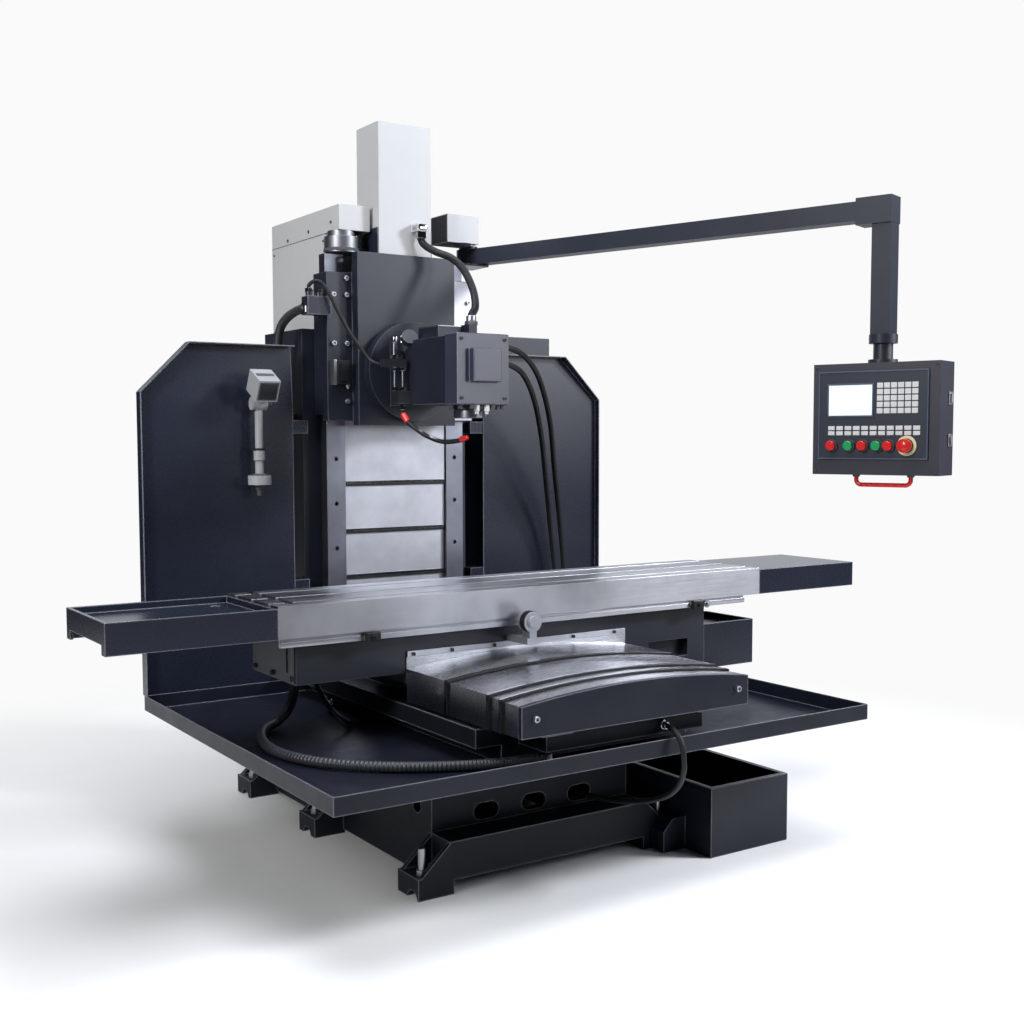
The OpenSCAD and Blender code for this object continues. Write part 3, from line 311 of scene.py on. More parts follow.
def finish(name, dark, light, rough, grain_mm, bump_mm, metallic=0.0, stretch=(1, 1, 1), blotch_mm=220,
           specular=0.5, brushed=0.0, edge=None, rub_and_glint_mm=2.5):
    """A surface with a slow drift between two colours and a fine grain in its roughness and bump."""
    material = bpy.data.materials.new(name)
    material.use_nodes = True
    tree = material.node_tree
    shader = tree.nodes["Principled BSDF"]
    shader.inputs["Metallic"].default_value = metallic
    shader.inputs["Specular IOR Level"].default_value = specular
    shader.inputs["Anisotropic"].default_value = brushed
    shader.inputs["Anisotropic Rotation"].default_value = BRUSH_TURN
    coords = node(tree, "ShaderNodeTexCoord").outputs["Object"]
    drift = node(tree, "ShaderNodeTexNoise", {"Scale": 1 / (blotch_mm * MM), "Detail": 4.0,
                                             "Roughness": 0.6}, Vector=coords).outputs["Fac"]
    laid = node(tree, "ShaderNodeMapping", {"Scale": stretch}, Vector=coords).outputs["Vector"]
    grain = node(tree, "ShaderNodeTexNoise", {"Scale": 1 / (grain_mm * MM), "Detail": 3.0, "Roughness": 0.6},
                 Vector=laid).outputs["Fac"]
    ramp = node(tree, "ShaderNodeValToRGB", Fac=drift)
    for stop, position, code in zip(ramp.color_ramp.elements, DRIFT, (dark, light)):
        stop.position = position
        stop.color = linear(code)
    colour = ramp.outputs["Color"]
    # lighter edges: paint wear, and a painted highlight of the rounded edge
    if edge:
        colour = rubbed_and_lit_edge(tree, colour, edge, rub_and_glint_mm)
    tree.links.new(colour, shader.inputs["Base Color"])
    spread = node(tree, "ShaderNodeMapRange", {"To Min": rough[0], "To Max": rough[1]}, Value=grain)
    tree.links.new(spread.outputs["Result"], shader.inputs["Roughness"])
    if bump_mm:
        relief = node(tree, "ShaderNodeBump", {"Strength": 0.6, "Distance": bump_mm * MM}, Height=grain)
        tree.links.new(relief.outputs["Normal"], shader.inputs["Normal"])
    return material


def ribbed(name, dark, light):
    """Moulded corrugated conduit: rings across its length, read from the tube's own UV map."""
    tree = finish(name, dark, light, (0.34, 0.48), 8.0, 0.0).node_tree
    along = node(tree, "ShaderNodeTexCoord").outputs["UV"]
    wave = node(tree, "ShaderNodeTexWave",
                {"wave_type": "BANDS", "bands_direction": "X", "Distortion": 0.0,
                 "Scale": RIB_RUN / RIB_PITCH / math.tau * 2}, Vector=along)
    relief = node(tree, "ShaderNodeBump", {"Strength": 1.0, "Distance": RIB_DEPTH * MM},
                  Height=wave.outputs["Fac"])
    tree.links.new(relief.outputs["Normal"], tree.nodes["Principled BSDF"].inputs["Normal"])


class MillColours(bpy.types.PropertyGroup):
    """Colours that a user would change, as sRGB hex codes."""
    cast_paint: bpy.props.StringProperty(
        name="Cast paint", description="Paint on the castings", default="#191d29")
    sheet_paint: bpy.props.StringProperty(
        name="Sheet paint", description="Paint on end trays and guards", default="#1d212e")
    cover_paint: bpy.props.StringProperty(
        name="Cover paint", description="Off-white paint on the drive covers", default="#aaabad")
    arm_paint: bpy.props.StringProperty(
        name="Arm paint", description="Paint on the pendant arm", default="#292d39")
    handle: bpy.props.StringProperty(
        name="Handle", description="Red plastic of the pendant's handle and buttons", default="#c3202c")


class MillSizes(bpy.types.PropertyGroup):
    """Roundings that are laid on the CAD pieces."""
    cast_edge: bpy.props.FloatProperty(
        name="Casting edge", description="Rounding on casting edges", default=0.003, min=0.0002, max=0.006,
        precision=4, unit="LENGTH")
    sheet_edge: bpy.props.FloatProperty(
        name="Sheet edge", description="Rounding on sheet and small parts", default=0.001, min=0.0001,
        max=0.003, precision=4, unit="LENGTH")


NODE_FINISH = {
    "painted_casting": ("column", "saddle", "head_slide", "headstock"),
    "matt_casting": ("bed_casting",),
    "gear_cover_paint": ("gearbox_cover",),
    "painted_sheet": ("left_guard", "right_guard", "left_end_tray", "right_end_tray", "electrical_cabinet",
                      "arm_pivot", "x_motor", "valve_block"),
    "motor_enamel": ("spindle_motor",),
    "arm_paint": ("pendant_arm",),
    "pendant_paint": ("pendant_case",),
    "cover_paint": ("drive_cabinet", "belt_cover", "motor_cover", "junction_box"),
    "lamp_paint": ("lamp_base", "lamp_stem", "lamp_head"),
    "ground_steel": ("table", "z_ball_screw", "dog_rail"),
    "rail_steel": ("z_rails", "spindle", "coolant_manifold"),
    "turned_aluminium": ("z_motor",),
    "zinc_steel": ("levelling_bolts",),
    "brushed_stainless": ("y_cover_fixed", "y_cover_carrier", "y_cover_rear", "y_cover_front"),
    "bright_stainless": ("z_cover_fixed", "z_cover_upper", "z_cover_lower", "z_cover_top", "limit_switch"),
    "tray_paint": ("chip_tray", "coolant_tank"),
    "panel_foil": ("pendant_panel",),
    "screen_glass": ("pendant_screen",),
    "key_plastic": ("pendant_keys",),
    "red_plastic": ("pendant_handle", "button_1", "button_3", "button_5", "emergency_stop"),
    "green_plastic": ("button_2", "button_4"),
}
CAST_FINISHES = ("painted_casting", "matt_casting", "gear_cover_paint")
# Pieces with a rounding of their own; on the saddle and the stop it stays inside the sliding gaps
EDGES = {"emergency_stop": 0.4, "saddle": 0.8, "button_1": 2.5, "button_2": 2.5, "button_3": 2.5,
         "button_4": 2.5, "button_5": 2.5, "pendant_case": 4.0, "lamp_head": 5.0, "motor_cover": 3.0,
         "junction_box": 3.0, "belt_cover": 3.0}


class MILL_OT_finishes(bpy.types.Operator):
    """Make the finishes and lay them on the CAD pieces, with eased edges"""
    bl_idname = "mill.finishes"
    bl_label = "Finishes"

    def execute(self, context):
        look, size = context.scene.mill_colours, context.scene.mill_sizes
        self.paints(look)
        self.metals()
        self.plastics(look)
        for name, parts in NODE_FINISH.items():
            usual = (size.cast_edge if name in CAST_FINISHES else size.sheet_edge) / MM
            for part in parts:
                self.dress(part, name, EDGES.get(part, usual))
        return {"FINISHED"}

    def paints(self, look):
        """Coats on iron and sheet; their lighter edges, paint wear and a painted highlight, are drawn a
        little wider than real, to show.
        """
        # Two-pack paint on cast iron: filled and rolled, so a slight orange peel and soft gloss
        finish("painted_casting", "#151924", look.cast_paint, (0.34, 0.46), 9.0, 0.25, blotch_mm=260,
               edge="#565963", rub_and_glint_mm=3)
        # Powder coat on folded sheet: even, finer peel than the castings
        finish("painted_sheet", "#181c28", look.sheet_paint, (0.24, 0.32), 5.0, 0.08, blotch_mm=320,
               specular=0.42, edge="#8b8e98", rub_and_glint_mm=4)
        # The bed stands low and is rolled matt, so the white floor does not mirror in it
        finish("matt_casting", "#10131b", "#151922", (0.5, 0.62), 9.0, 0.3, specular=0.25,
               edge="#7c7f89", rub_and_glint_mm=6)
        # The gear cover is filled flat and carries a glossier top coat than the casting behind it
        finish("gear_cover_paint", "#2d2f3d", "#353746", (0.16, 0.24), 6.0, 0.03, specular=0.6,
               edge="#8d8e9c", rub_and_glint_mm=3)
        # The tray's coat is the same powder, wiped to a patchy sheen by coolant
        finish("tray_paint", "#12151f", "#1b1e29", (0.26, 0.46), 60.0, 0.12, blotch_mm=180,
               specular=0.25, edge="#8b8e98", rub_and_glint_mm=4)
        # Black motor enamel: thin and glossy
        finish("motor_enamel", "#17181c", "#202227", (0.22, 0.34), 6.0, 0.08)
        # The arm and the pendant's case are sprayed: satin, with dull highlights
        finish("arm_paint", "#232733", look.arm_paint, (0.34, 0.46), 5.0, 0.12, specular=0.3)
        finish("pendant_paint", "#24252f", "#2b2c38", (0.35, 0.48), 3.0, 0.1)
        # Off-white powder coat: matt with a fine texture, greyer and smoother on the lamp
        finish("cover_paint", "#a4a5a7", look.cover_paint, (0.36, 0.48), 4.0, 0.1, blotch_mm=400)
        finish("lamp_paint", "#85878b", "#94969a", (0.3, 0.4), 4.0, 0.08)

    def metals(self):
        """Bare steel, stainless sheet, aluminium and chrome."""
        # Surface-ground steel: long fine lines along the table's travel, drawn coarser than real to show
        finish("ground_steel", "#9a9ba1", "#b5b6bc", (0.28, 0.42), 3.0, 0.05, metallic=METAL,
               stretch=(0.02, 1, 1), brushed=0.6)
        # Hardened and ground way steel: darker, lines along the rail
        finish("rail_steel", "#7a7c86", "#9597a1", (0.24, 0.4), 3.0, 0.04, metallic=METAL,
               stretch=(1, 1, 0.03))
        # Zinc plate on bolts and nuts: pale, with blurred highlights
        finish("zinc_steel", "#a2a3a9", "#bbbcc1", (0.32, 0.46), 2.0, 0.05, metallic=METAL)
        # Brushed stainless sheet: long scratches across the machine, drawn coarser than real to show
        finish("brushed_stainless", "#b3b4ba", "#d4d5da", (0.2, 0.36), 2.5, 0.05, metallic=METAL,
               stretch=(0.015, 1, 1), blotch_mm=140, brushed=0.6)
        # The column's cover panels are the same sheet, newer and less scuffed by chips, with an even sheen
        finish("bright_stainless", "#a9aab1", "#c2c3ca", (0.4, 0.56), 2.5, 0.04, metallic=METAL,
               stretch=(0.015, 1, 1), blotch_mm=140)
        # Turned aluminium of the feed motor's flange: duller than steel, faint lathe lines
        finish("turned_aluminium", "#6c6e73", "#808287", (0.38, 0.52), 3.0, 0.05, metallic=METAL,
               stretch=(0.1, 0.1, 1))
        # Chromed brass and steel: mirror with the faintest grain
        finish("chromed_steel", "#c9cacf", "#dadbdf", (0.08, 0.14), 3.0, 0.02, metallic=METAL)

    def plastics(self, look):
        """Foil, glass, mouldings and rubber."""
        # Printed foil on the panel and around its fields: flat colour, no gloss to hide a key
        finish("panel_foil", "#141c2b", "#1a2334", (0.36, 0.48), 2.0, 0.05)
        finish("bezel_foil", "#39435a", "#434d64", (0.4, 0.5), 2.0, 0.05)
        # A lit display: it gives off part of the light that it shows
        lit = finish("screen_glass", "#ccd4de", "#dde3ea", (0.12, 0.18), 60.0, 0.0, specular=0.6)
        shader = lit.node_tree.nodes["Principled BSDF"]
        shader.inputs["Emission Color"].default_value = linear("#e6edf5")
        shader.inputs["Emission Strength"].default_value = 0.45
        # The lamp is off; its glass is near black as painted shade of the head's shaded front, and mirrors
        # the room
        finish("lamp_glass", "#0d0e10", "#15161a", (0.08, 0.16), 40.0, 0.0, specular=0.6)
        # Membrane keys: pale and matt
        finish("key_plastic", "#c6c7c8", "#d6d7d7", (0.4, 0.5), 2.0, 0.05)
        # Moulded buttons and handle: full colour under a smooth skin; the stop's collar is duller
        finish("red_plastic", "#b01c26", look.handle, (0.22, 0.32), 3.0, 0.04)
        finish("green_plastic", "#1f7f4a", "#279158", (0.22, 0.32), 3.0, 0.04)
        finish("cream_plastic", "#d8d0a4", "#e3dcb4", (0.35, 0.45), 3.0, 0.04)
        # Black mouldings and rubber: wide weak highlights, the rubber nearly flat
        finish("black_plastic", "#111215", "#18191d", (0.42, 0.55), 2.0, 0.06, specular=0.35)
        finish("black_rubber", "#0c0d0f", "#141517", (0.45, 0.6), 4.0, 0.1, specular=0.3)
        # Corrugated conduit: close rings, clean by the head and greyed by chips in the tray
        ribbed("black_conduit", "#141518", "#1f2024")
        ribbed("grey_conduit", "#2b2d33", "#3a3c43")

    def dress(self, part, finish_name, edge):
        """Lay a finish on a CAD node and ease its edges."""
        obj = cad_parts[part]
        obj.material_slots[0].material = bpy.data.materials[finish_name]
        weld = obj.modifiers.new("weld", "WELD")
        weld.merge_threshold = 0.01 * MM
        flat = obj.modifiers.new("flat", "DECIMATE")
        flat.decimate_type = "DISSOLVE"
        flat.angle_limit = FLAT_UNDER
        rim = obj.modifiers.new("eased_edges", "BEVEL")
        rim.width = edge * MM
        rim.segments = 2
        rim.limit_method = "ANGLE"
        rim.angle_limit = EASED_FROM
        rim.use_clamp_overlap = True
        shade = obj.modifiers.new("shade", "WEIGHTED_NORMAL")
        shade.weight = FLAT_PULL


# Hoses and conduits, with the same routes as the CAD solids

ROUTES = {
    "head_conduit": [
        (40, 182, 1838), (40, 182, 1818), (52, 178, 1796), (84, 160, 1775), (118, 130, 1757),
        (134, 90, 1725), (138, 50, 1680), (132, 10, 1630), (108, -34, 1585), (82, -56, 1562),
        (78, -58, 1550)],
    "supply_conduit": [
        (-340.5, 230, 1578), (-350, 230, 1578), (-358, 260, 1572), (-366, 300, 1558), (-372, 340, 1530),
        (-374, 362, 1480), (-374, 372, 1420), (-372, 384, 1350), (-362, 396, 1290), (-340, 400, 1256),
        (-318, 400, 1250), (-300, 400, 1250)],
    "coolant_hose": [
        (-325, 230, 1640.5), (-325, 230, 1652), (-312, 216, 1664), (-292, 204, 1655), (-272, 192, 1618),
        (-248, 178, 1562), (-220, 166, 1506), (-188, 152, 1456), (-166, 132, 1422), (-152, 106, 1410),
        (-150, 92, 1412), (-150, 84, 1412)],
    "right_hose_upper": [
        (140, -80, 1450), (160, -80, 1454), (215, -66, 1462), (300, -30, 1438), (401, 40, 1373),
        (498, 120, 1245), (575, 200, 1074), (632, 246, 880), (656, 254, 700), (660, 255, 540),
        (660, 255, 387)],
    "right_hose_lower": [
        (140, -80, 1405), (160, -80, 1408), (210, -64, 1412), (290, -26, 1386), (385, 50, 1312),
        (472, 132, 1190), (545, 208, 1030), (596, 250, 850), (622, 257, 680), (628, 258, 530),
        (628, 258, 387)],
    "tray_conduit": [
        (-600, -240, 562.5), (-600, -240, 540), (-592, -215, 490), (-590, -170, 440), (-612, -150, 408),
        (-668, -190, 401), (-718, -300, 401), (-736, -430, 401), (-700, -570, 401), (-610, -690, 401),
        (-500, -770, 401), (-380, -828, 401), (-290, -848, 401), (-200, -850, 401)],
    "bed_conduit": [
        (-540, -230, 562.5), (-540, -232, 540), (-530, -246, 502), (-510, -264, 460), (-486, -276, 426),
        (-456, -268, 406), (-434, -232, 399), (-422, -176, 397), (-414, -110, 398), (-406, -56, 402),
        (-394, -22, 410), (-376, -8, 414)],
    "front_cable": [
        (109, -920.5, 455), (109, -942, 455), (110, -966, 449), (111, -987, 433), (113, -999, 409),
        (115, -1001, 380), (119, -996, 345), (134, -958, 296), (158, -880, 248), (176, -775, 208),
        (180, -660, 180), (168, -580, 172), (157, -525, 172), (157, -496, 172)],
}
# Name, diameter, finish, the bodies at the ends, and two route points that bound the stretch meant to bend
CORDS = (
    ("head_conduit", 24, "black_conduit", ("head", "swivel_head"), 3, 8),
    ("supply_conduit", 28, "black_conduit", ("head", "frame"), 1, 9),
    ("coolant_hose", 12, "black_rubber", ("head", "swivel_head"), 4, 10),
    ("tray_conduit", 26, "grey_conduit", ("saddle", "frame"), 1, 9),
    ("bed_conduit", 14, "grey_conduit", ("saddle", "frame"), 1, 8),
    ("front_cable", 15, "black_rubber", ("frame",), 0, 0),
)
RIGHT_HOSES = ("right_hose_upper", "right_hose_lower")
RIGHT_HOSE_WIDE = 18
RIGHT_HOSE_BENDS = (1, 3, 9)  # route points: free of the headstock, level with the slide, at the tray


class MILL_OT_cords(bpy.types.Operator):
    """Lay the hoses and conduits along the routes of their CAD solids"""
    bl_idname = "mill.cords"
    bl_label = "Hoses and conduits"

    def execute(self, context):
        for name, diameter, material, bodies, first, last in CORDS:
            route = ROUTES[name]
            self.lay(name, name, smooth_route(route), diameter, material, bodies, route[first], route[last])
        free, level, low = RIGHT_HOSE_BENDS
        cut = level * ROUTE_STEPS
        for name in RIGHT_HOSES:
            route = ROUTES[name]
            path = smooth_route(route)
            self.lay(name + "_head", name, path[:cut + 1], RIGHT_HOSE_WIDE, "black_rubber",
                     ("swivel_head", "head"), route[free], route[level])
            self.lay(name + "_drop", name, path[cut:], RIGHT_HOSE_WIDE, "black_rubber",
                     ("head", "frame"), route[level], route[low])
        return {"FINISHED"}

    def lay(self, name, part, path, diameter, material, bodies, start, end):
        """One hose: a tube along the path, left in the world when it joins two bodies and carried by its
        body when it has one.
        """
        obj = tube(name + "_tube", path, diameter, material)
        if len(bodies) == 2:
            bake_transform(obj)
        else:
            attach(obj, bodies[0])
        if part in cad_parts:
            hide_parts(part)


# Way covers

COVER_CROWN = 25.0  # rise of an arched cover over its shoulders
COVER_SHOULDER = 205.0  # shoulder height less half width, the same on all as they nest evenly
BAND_FOOT = 488.0  # lips and wipers end just above the covers' feet
LIP_OVER, LIP_LAP, LIP_PROUD = 1.5, 7.0, 1.0
WIPER_OVER, WIPER_PROUD, WIPER_SUNK = 10.0, 0.4, 3.2
CLEAR = 0.1  # keeps two pieces of trim from sharing a face
END_PLATE_LAP, END_PLATE_THICK, END_PLATE_PROUD = 12.2, 15.0, 0.8
END_SCREWS_X = (-320, 320)
CLAMP_SCREWS_X = (-350, -231, -95, 43, 176, 326)
PLUG = [(0, 1.5), (9, 1.5), (10, 0.6), (10, 0), (0, 0)]
# Trim on the front of a column panel: name, lower and upper edge over the panel's foot, thickness, looks
PANEL_TRIM = (("_wiper", -2.5, 5.0, 1.2, "black_rubber", "rubber"),
              ("_lip", 5.2, 13.0, 0.9, "chromed_steel", "stainless"))


def arch(half, foot, steps=16):
    """Outline of an arched way cover from its right foot over the top, as (x, z)."""
    radius = (half ** 2 + COVER_CROWN ** 2) / (2 * COVER_CROWN)
    middle = half + COVER_SHOULDER + COVER_CROWN - radius
    span = math.asin(half / radius)
    turns = [span - 2 * span * i / steps for i in range(steps + 1)]
    top = [(radius * math.sin(t), middle + radius * math.cos(t)) for t in turns]
    return [(half, foot)] + top + [(-half, foot)]


def arch_band(bm, half, outside, inside, front, back):
    """A band that follows an arched cover, from outside to inside of its surface, between two depths."""
    ring = arch(half + outside, BAND_FOOT) + arch(half + inside, BAND_FOOT)[::-1]
    prism(bm, [(x, front, z) for x, z in ring], (0, back - front, 0))


class MILL_OT_way_covers(bpy.types.Operator):
    """Add the polished lips, wipers, end plate and screws of the telescopic way covers"""
    bl_idname = "mill.way_covers"
    bl_label = "Way covers"

    def execute(self, context):
        for name, body in (("carrier", "saddle"), ("rear", "y_cover_rear"), ("front", "y_cover_front")):
            self.segment_edge(name, body)
        self.end_plate()
        self.clamp_strip()
        for panel, body in (("z_cover_top", "head"), ("z_cover_upper", "z_cover_upper"),
                            ("z_cover_lower", "z_cover_lower")):
            low, high = box_mm(panel)
            for part, foot, top, thick, material, slot in PANEL_TRIM:
                trim_low = (low.x + 1, low.y - thick, low.z + foot)
                trim_high = (high.x - 1, low.y - CLEAR, low.z + top)
                plates(panel + part, [(trim_low, trim_high, 0.3)], material, body)
        return {"FINISHED"}

    def segment_edge(self, name, body):
        """Polished lip and rubber wiper on the front edge of an arched segment."""
        low, high = box_mm("y_cover_" + name)
        lip_front = low.y - LIP_OVER
        bm = bmesh.new()
        arch_band(bm, high.x, LIP_PROUD, 0.0, lip_front, low.y + LIP_LAP)
        piece("cover_lip_" + name, bm, "chromed_steel", body)
        bm = bmesh.new()
        arch_band(bm, high.x, WIPER_PROUD, -WIPER_SUNK, low.y - WIPER_OVER, lip_front - CLEAR)
        piece("cover_wiper_" + name, bm, "black_rubber", body)

    def end_plate(self):
        """Painted plate with two screws over the front of the fixed segment."""
        low, high = box_mm("y_cover_fixed")
        back = low.y + END_PLATE_LAP
        outline = arch(high.x + END_PLATE_PROUD, low.z + 0.2)
        bm = bmesh.new()
        prism(bm, [(x, back, z) for x, z in outline], (0, -END_PLATE_THICK, 0), rim=0.8)
        piece("cover_end_plate", bm, "tray_paint", "frame")
        bm = bmesh.new()
        front = back - END_PLATE_THICK - 0.2
        screws(bm, cap_screw, END_SCREWS_X, (front,), (low.z + 45,), FRONT, 16, 9)
        piece("end_plate_screws", bm, "zinc_steel", "frame")

    def clamp_strip(self):
        """Screwed strip over the carrier's flange, and a plug in each of its sides."""
        low, high = box_mm("y_cover_carrier")
        front = high.y - 5.5
        strip = ((2 - high.x, front, high.z + 0.4), (high.x - 2, high.y - 0.2, high.z + 15), 0.8)
        plates("cover_clamp_strip", [strip], "bright_stainless", "saddle")
        bm = bmesh.new()
        screws(bm, cap_screw, CLAMP_SCREWS_X, (front,), (high.z + 7.5,), FRONT, 10, 5)
        for side in SIDES:
            turned(bm, (side * high.x, low.y + 30, low.z + 57), (side, 0, 0), PLUG, sides=24)
        piece("clamp_strip_screws", bm, "black_plastic", "saddle")


# Milling head

KEEPER_FACE = 239.8  # just in front of the gib keepers beside the slide
GIB_STRIP = ((177, 235, 1242), (261, KEEPER_FACE, 1698), 1.5)
GIB_STRIP_BOLTS = ((246,), (235,), (1285, 1400, 1515, 1630))
KEEPER_BOLTS = ((-196, (1300, 1480, 1630, 1682)), (-240, (1480, 1630)))
NIPPLE_AT = (-200, 226, 1352)  # under the lubricator
NIPPLE = [(0, 14), (3, 14), (5, 10), (5, 6), (8, 6), (8, 0), (0, 0)]
LUBRICATOR = ((-240, 212, 1352), (-196, KEEPER_FACE, 1426), 3)
LUBRICATOR_LID = ((-230, 208, 1362), (-206, 212.5, 1416), 2)
LUBRICATOR_PLATE = ((-252, 216, 1350), (-240.2, KEEPER_FACE, 1428), 1.5)
VALVE_PORTS_X = (-325, -291)
HUMP_PLATE = ((-41, -61, 1520), (41, 61, 1523), 1)
WORM_AT, WORM_AXIS, WORM_REACH = Vector((-66, 112, 1448)), Vector((-0.2136, -0.8568, 0.4695)), 40
WORM_SLEEVE = [(23.5, 0), (25.2, 1), (25.2, 35), (23.5, 36), (23.5, 0)]
GEAR_BOTTOM_SCREWS = ((-72, -238), (-36, -244), (36, -244), (72, -238), (-78, -200), (78, -200))
GEAR_FRONT_SCREWS_X = (-74, 74)
AIR_FITTINGS = ((-16, -238), (18, -238))
NOZZLE_WIDE = 14
NOZZLE_ROUTE = [(-108, 42, 1292), (-108, 42, 1262), (-104, 32, 1242), (-92, 10, 1222), (-66, -30, 1192),
                (-40, -80, 1174), (-16, -126, 1176), (-4, -150, 1183)]
NOZZLE_COLLAR = ((-107, 40, 1258), (-99, 23, 1234))
NOZZLE_TIP = ((-10, -138, 1180), (1, -160, 1187))
RISERS = ((-124, 58), (-106, 40))  # the manifold's two upright pipes, the taller first
RISER_NUTS_Z = (1328, 1388)


class MILL_OT_head(bpy.types.Operator):
    """Add the bolts, fittings, coolant nozzle and plates of the milling head"""
    bl_idname = "mill.head"
    bl_label = "Milling head"

    def execute(self, context):
        self.slide_details()
        self.slide_glands()
        self.stock_details()
        self.hose_nuts()
        self.coolant_details()
        return {"FINISHED"}

    def slide_details(self):
        """Keeper strip, gib bolts and lubricator on the vertical slide, and dark plates as painted shade
        over the lower sides of the motor cover.
        """
        plates("gib_strip", [GIB_STRIP], "bright_stainless", "head")
        bm = bmesh.new()
        screws(bm, cap_screw, *GIB_STRIP_BOLTS, FRONT, 14, 8)
        for x, heights in KEEPER_BOLTS:
            screws(bm, cap_screw, (x,), (KEEPER_FACE,), heights, FRONT, 16, 9)
        turned(bm, NIPPLE_AT, DOWN, NIPPLE, sides=16)
        piece("gib_bolts", bm, "zinc_steel", "head")
        plates("lubricator", [LUBRICATOR, LUBRICATOR_LID], "black_rubber", "head")
        plates("lubricator_plate", [LUBRICATOR_PLATE], "zinc_steel", "head")
        # painted shade: dark plates over the lower part of the motor cover's two sides
        low, high = box_mm("motor_cover")
        front, back, foot, top = low.y + 44, high.y - 2, low.z + 1, low.z + 83
        plates("motor_skirt_shade", [((low.x - 3.5, front, foot), (low.x - 0.2, back, top), 1.2),
                               ((high.x + 0.2, front, foot), (high.x + 3.5, back, top), 1.2)],
               "painted_sheet", "head")

    def slide_glands(self):
        """Glands where the conduits and the coolant hose leave the slide."""
        bm = bmesh.new()
        x, y, z = ROUTES["head_conduit"][0]
        slab(bm, (x - 19, y - 17, z - 0.5), (x + 19, y + 26.8, z + 25), 8)
        nut(bm, (x, y, z), (x, y, z - 22), 34, 2)
        low, high = box_mm("valve_block")
        y = (low.y + high.y) / 2
        for x in VALVE_PORTS_X:
            nut(bm, (x, y, high.z - 10), (x, y, high.z + 3), 25)
        _, y, z = ROUTES["supply_conduit"][0]
        nut(bm, (low.x, y, z), (low.x - 12, y, z), 36, 2)
        piece("slide_glands", bm, "chromed_steel", "head")

    def stock_details(self):
        """Top plate, worm sleeve, gear cover screws and air fittings on the swivelling headstock."""
        plates("hump_plate", [HUMP_PLATE], "ground_steel", "swivel_head")
        lathe("worm_sleeve", [(WORM_AT + WORM_AXIS * WORM_REACH, WORM_AXIS, WORM_SLEEVE, 40)],
              "chromed_steel", "swivel_head")
        low, high = box_mm("gearbox_cover")
        bm = bmesh.new()
        for x, y in GEAR_BOTTOM_SCREWS:
            cap_screw(bm, (x, y, low.z), DOWN, 14, 12)
        screws(bm, cap_screw, GEAR_FRONT_SCREWS_X, (low.y + 25,), (low.z + 19, high.z - 17), FRONT, 10, 5)
        piece("gear_cover_screws", bm, "black_plastic", "swivel_head")
        bm = bmesh.new()
        for x, y in AIR_FITTINGS:
            rod(bm, (x, y, low.z), (x, y, low.z - 19), 17, rim=2)
            rod(bm, (x, y, low.z - 17), (x, y, low.z - 27), 11)
        piece("air_fittings", bm, "key_plastic", "swivel_head")

    def hose_nuts(self):
        """Nuts and ferrules that carry the right hoses and the head conduit on to their ports."""
        bm = bmesh.new()
        for name in reversed(RIGHT_HOSES):
            x, y, z = ROUTES[name][0]
            nut(bm, (x - 27, y, z), (x - 14, y, z), 30)
            rod(bm, (x - 15, y, z + 1), (x + 6, y, z + 2), 24)
        x, y, z = ROUTES["head_conduit"][-1]
        nut(bm, (x, y, z - 23), (x, y, z - 10), 40, 2)
        rod(bm, (x, y, z - 11), (x + 1, y + 1, z + 6), 31, rim=2)
        piece("hose_nuts", bm, "zinc_steel", "swivel_head")

    def coolant_details(self):
        """Black skin with red tips on the bent nozzle pipe, and bright nuts on the coolant manifold."""
        pipe = tube("nozzle_pipe", smooth_route(NOZZLE_ROUTE), NOZZLE_WIDE, "black_rubber")
        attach(pipe, "swivel_head")
        bm = bmesh.new()
        rod(bm, *NOZZLE_COLLAR, 20, rim=2)
        rod(bm, *NOZZLE_TIP, 19, rim=2, taper=0.7)
        piece("nozzle_tips", bm, "red_plastic", "swivel_head")
        bm = bmesh.new()
        for x, y in RISERS:
            for z in RISER_NUTS_Z:
                nut(bm, (x, y, z), (x, y, z + 12), 19)
        x, y = RISERS[0]
        nut(bm, (x, y, 1424), (x, y, 1438), 22)
        rod(bm, (x, y, 1474), (x, y, 1492), 21, rim=2)
        x, y, z = ROUTES["coolant_hose"][-1]
        nut(bm, (x, y - 1, z), (x, y + 14, z), 20)
        x, y, z = NOZZLE_ROUTE[0]
        nut(bm, (x, y, z - 2), (x, y, z - 22), 20)
        piece("pipe_nuts", bm, "chromed_steel", "swivel_head")


# Drive covers

BELT_SCREWS = ((635, 1846), (303, 1862), (470, 1854))
FUNNEL_AT, FUNNEL_WIDE, FUNNEL_DEEP = (262, 300), 70, 9.5
Z_MOTOR_RING_AT = (-187, 287, 1768)
Z_MOTOR_RING = [(54, 0), (56, 1), (56, 9), (54, 10), (54, 0)]


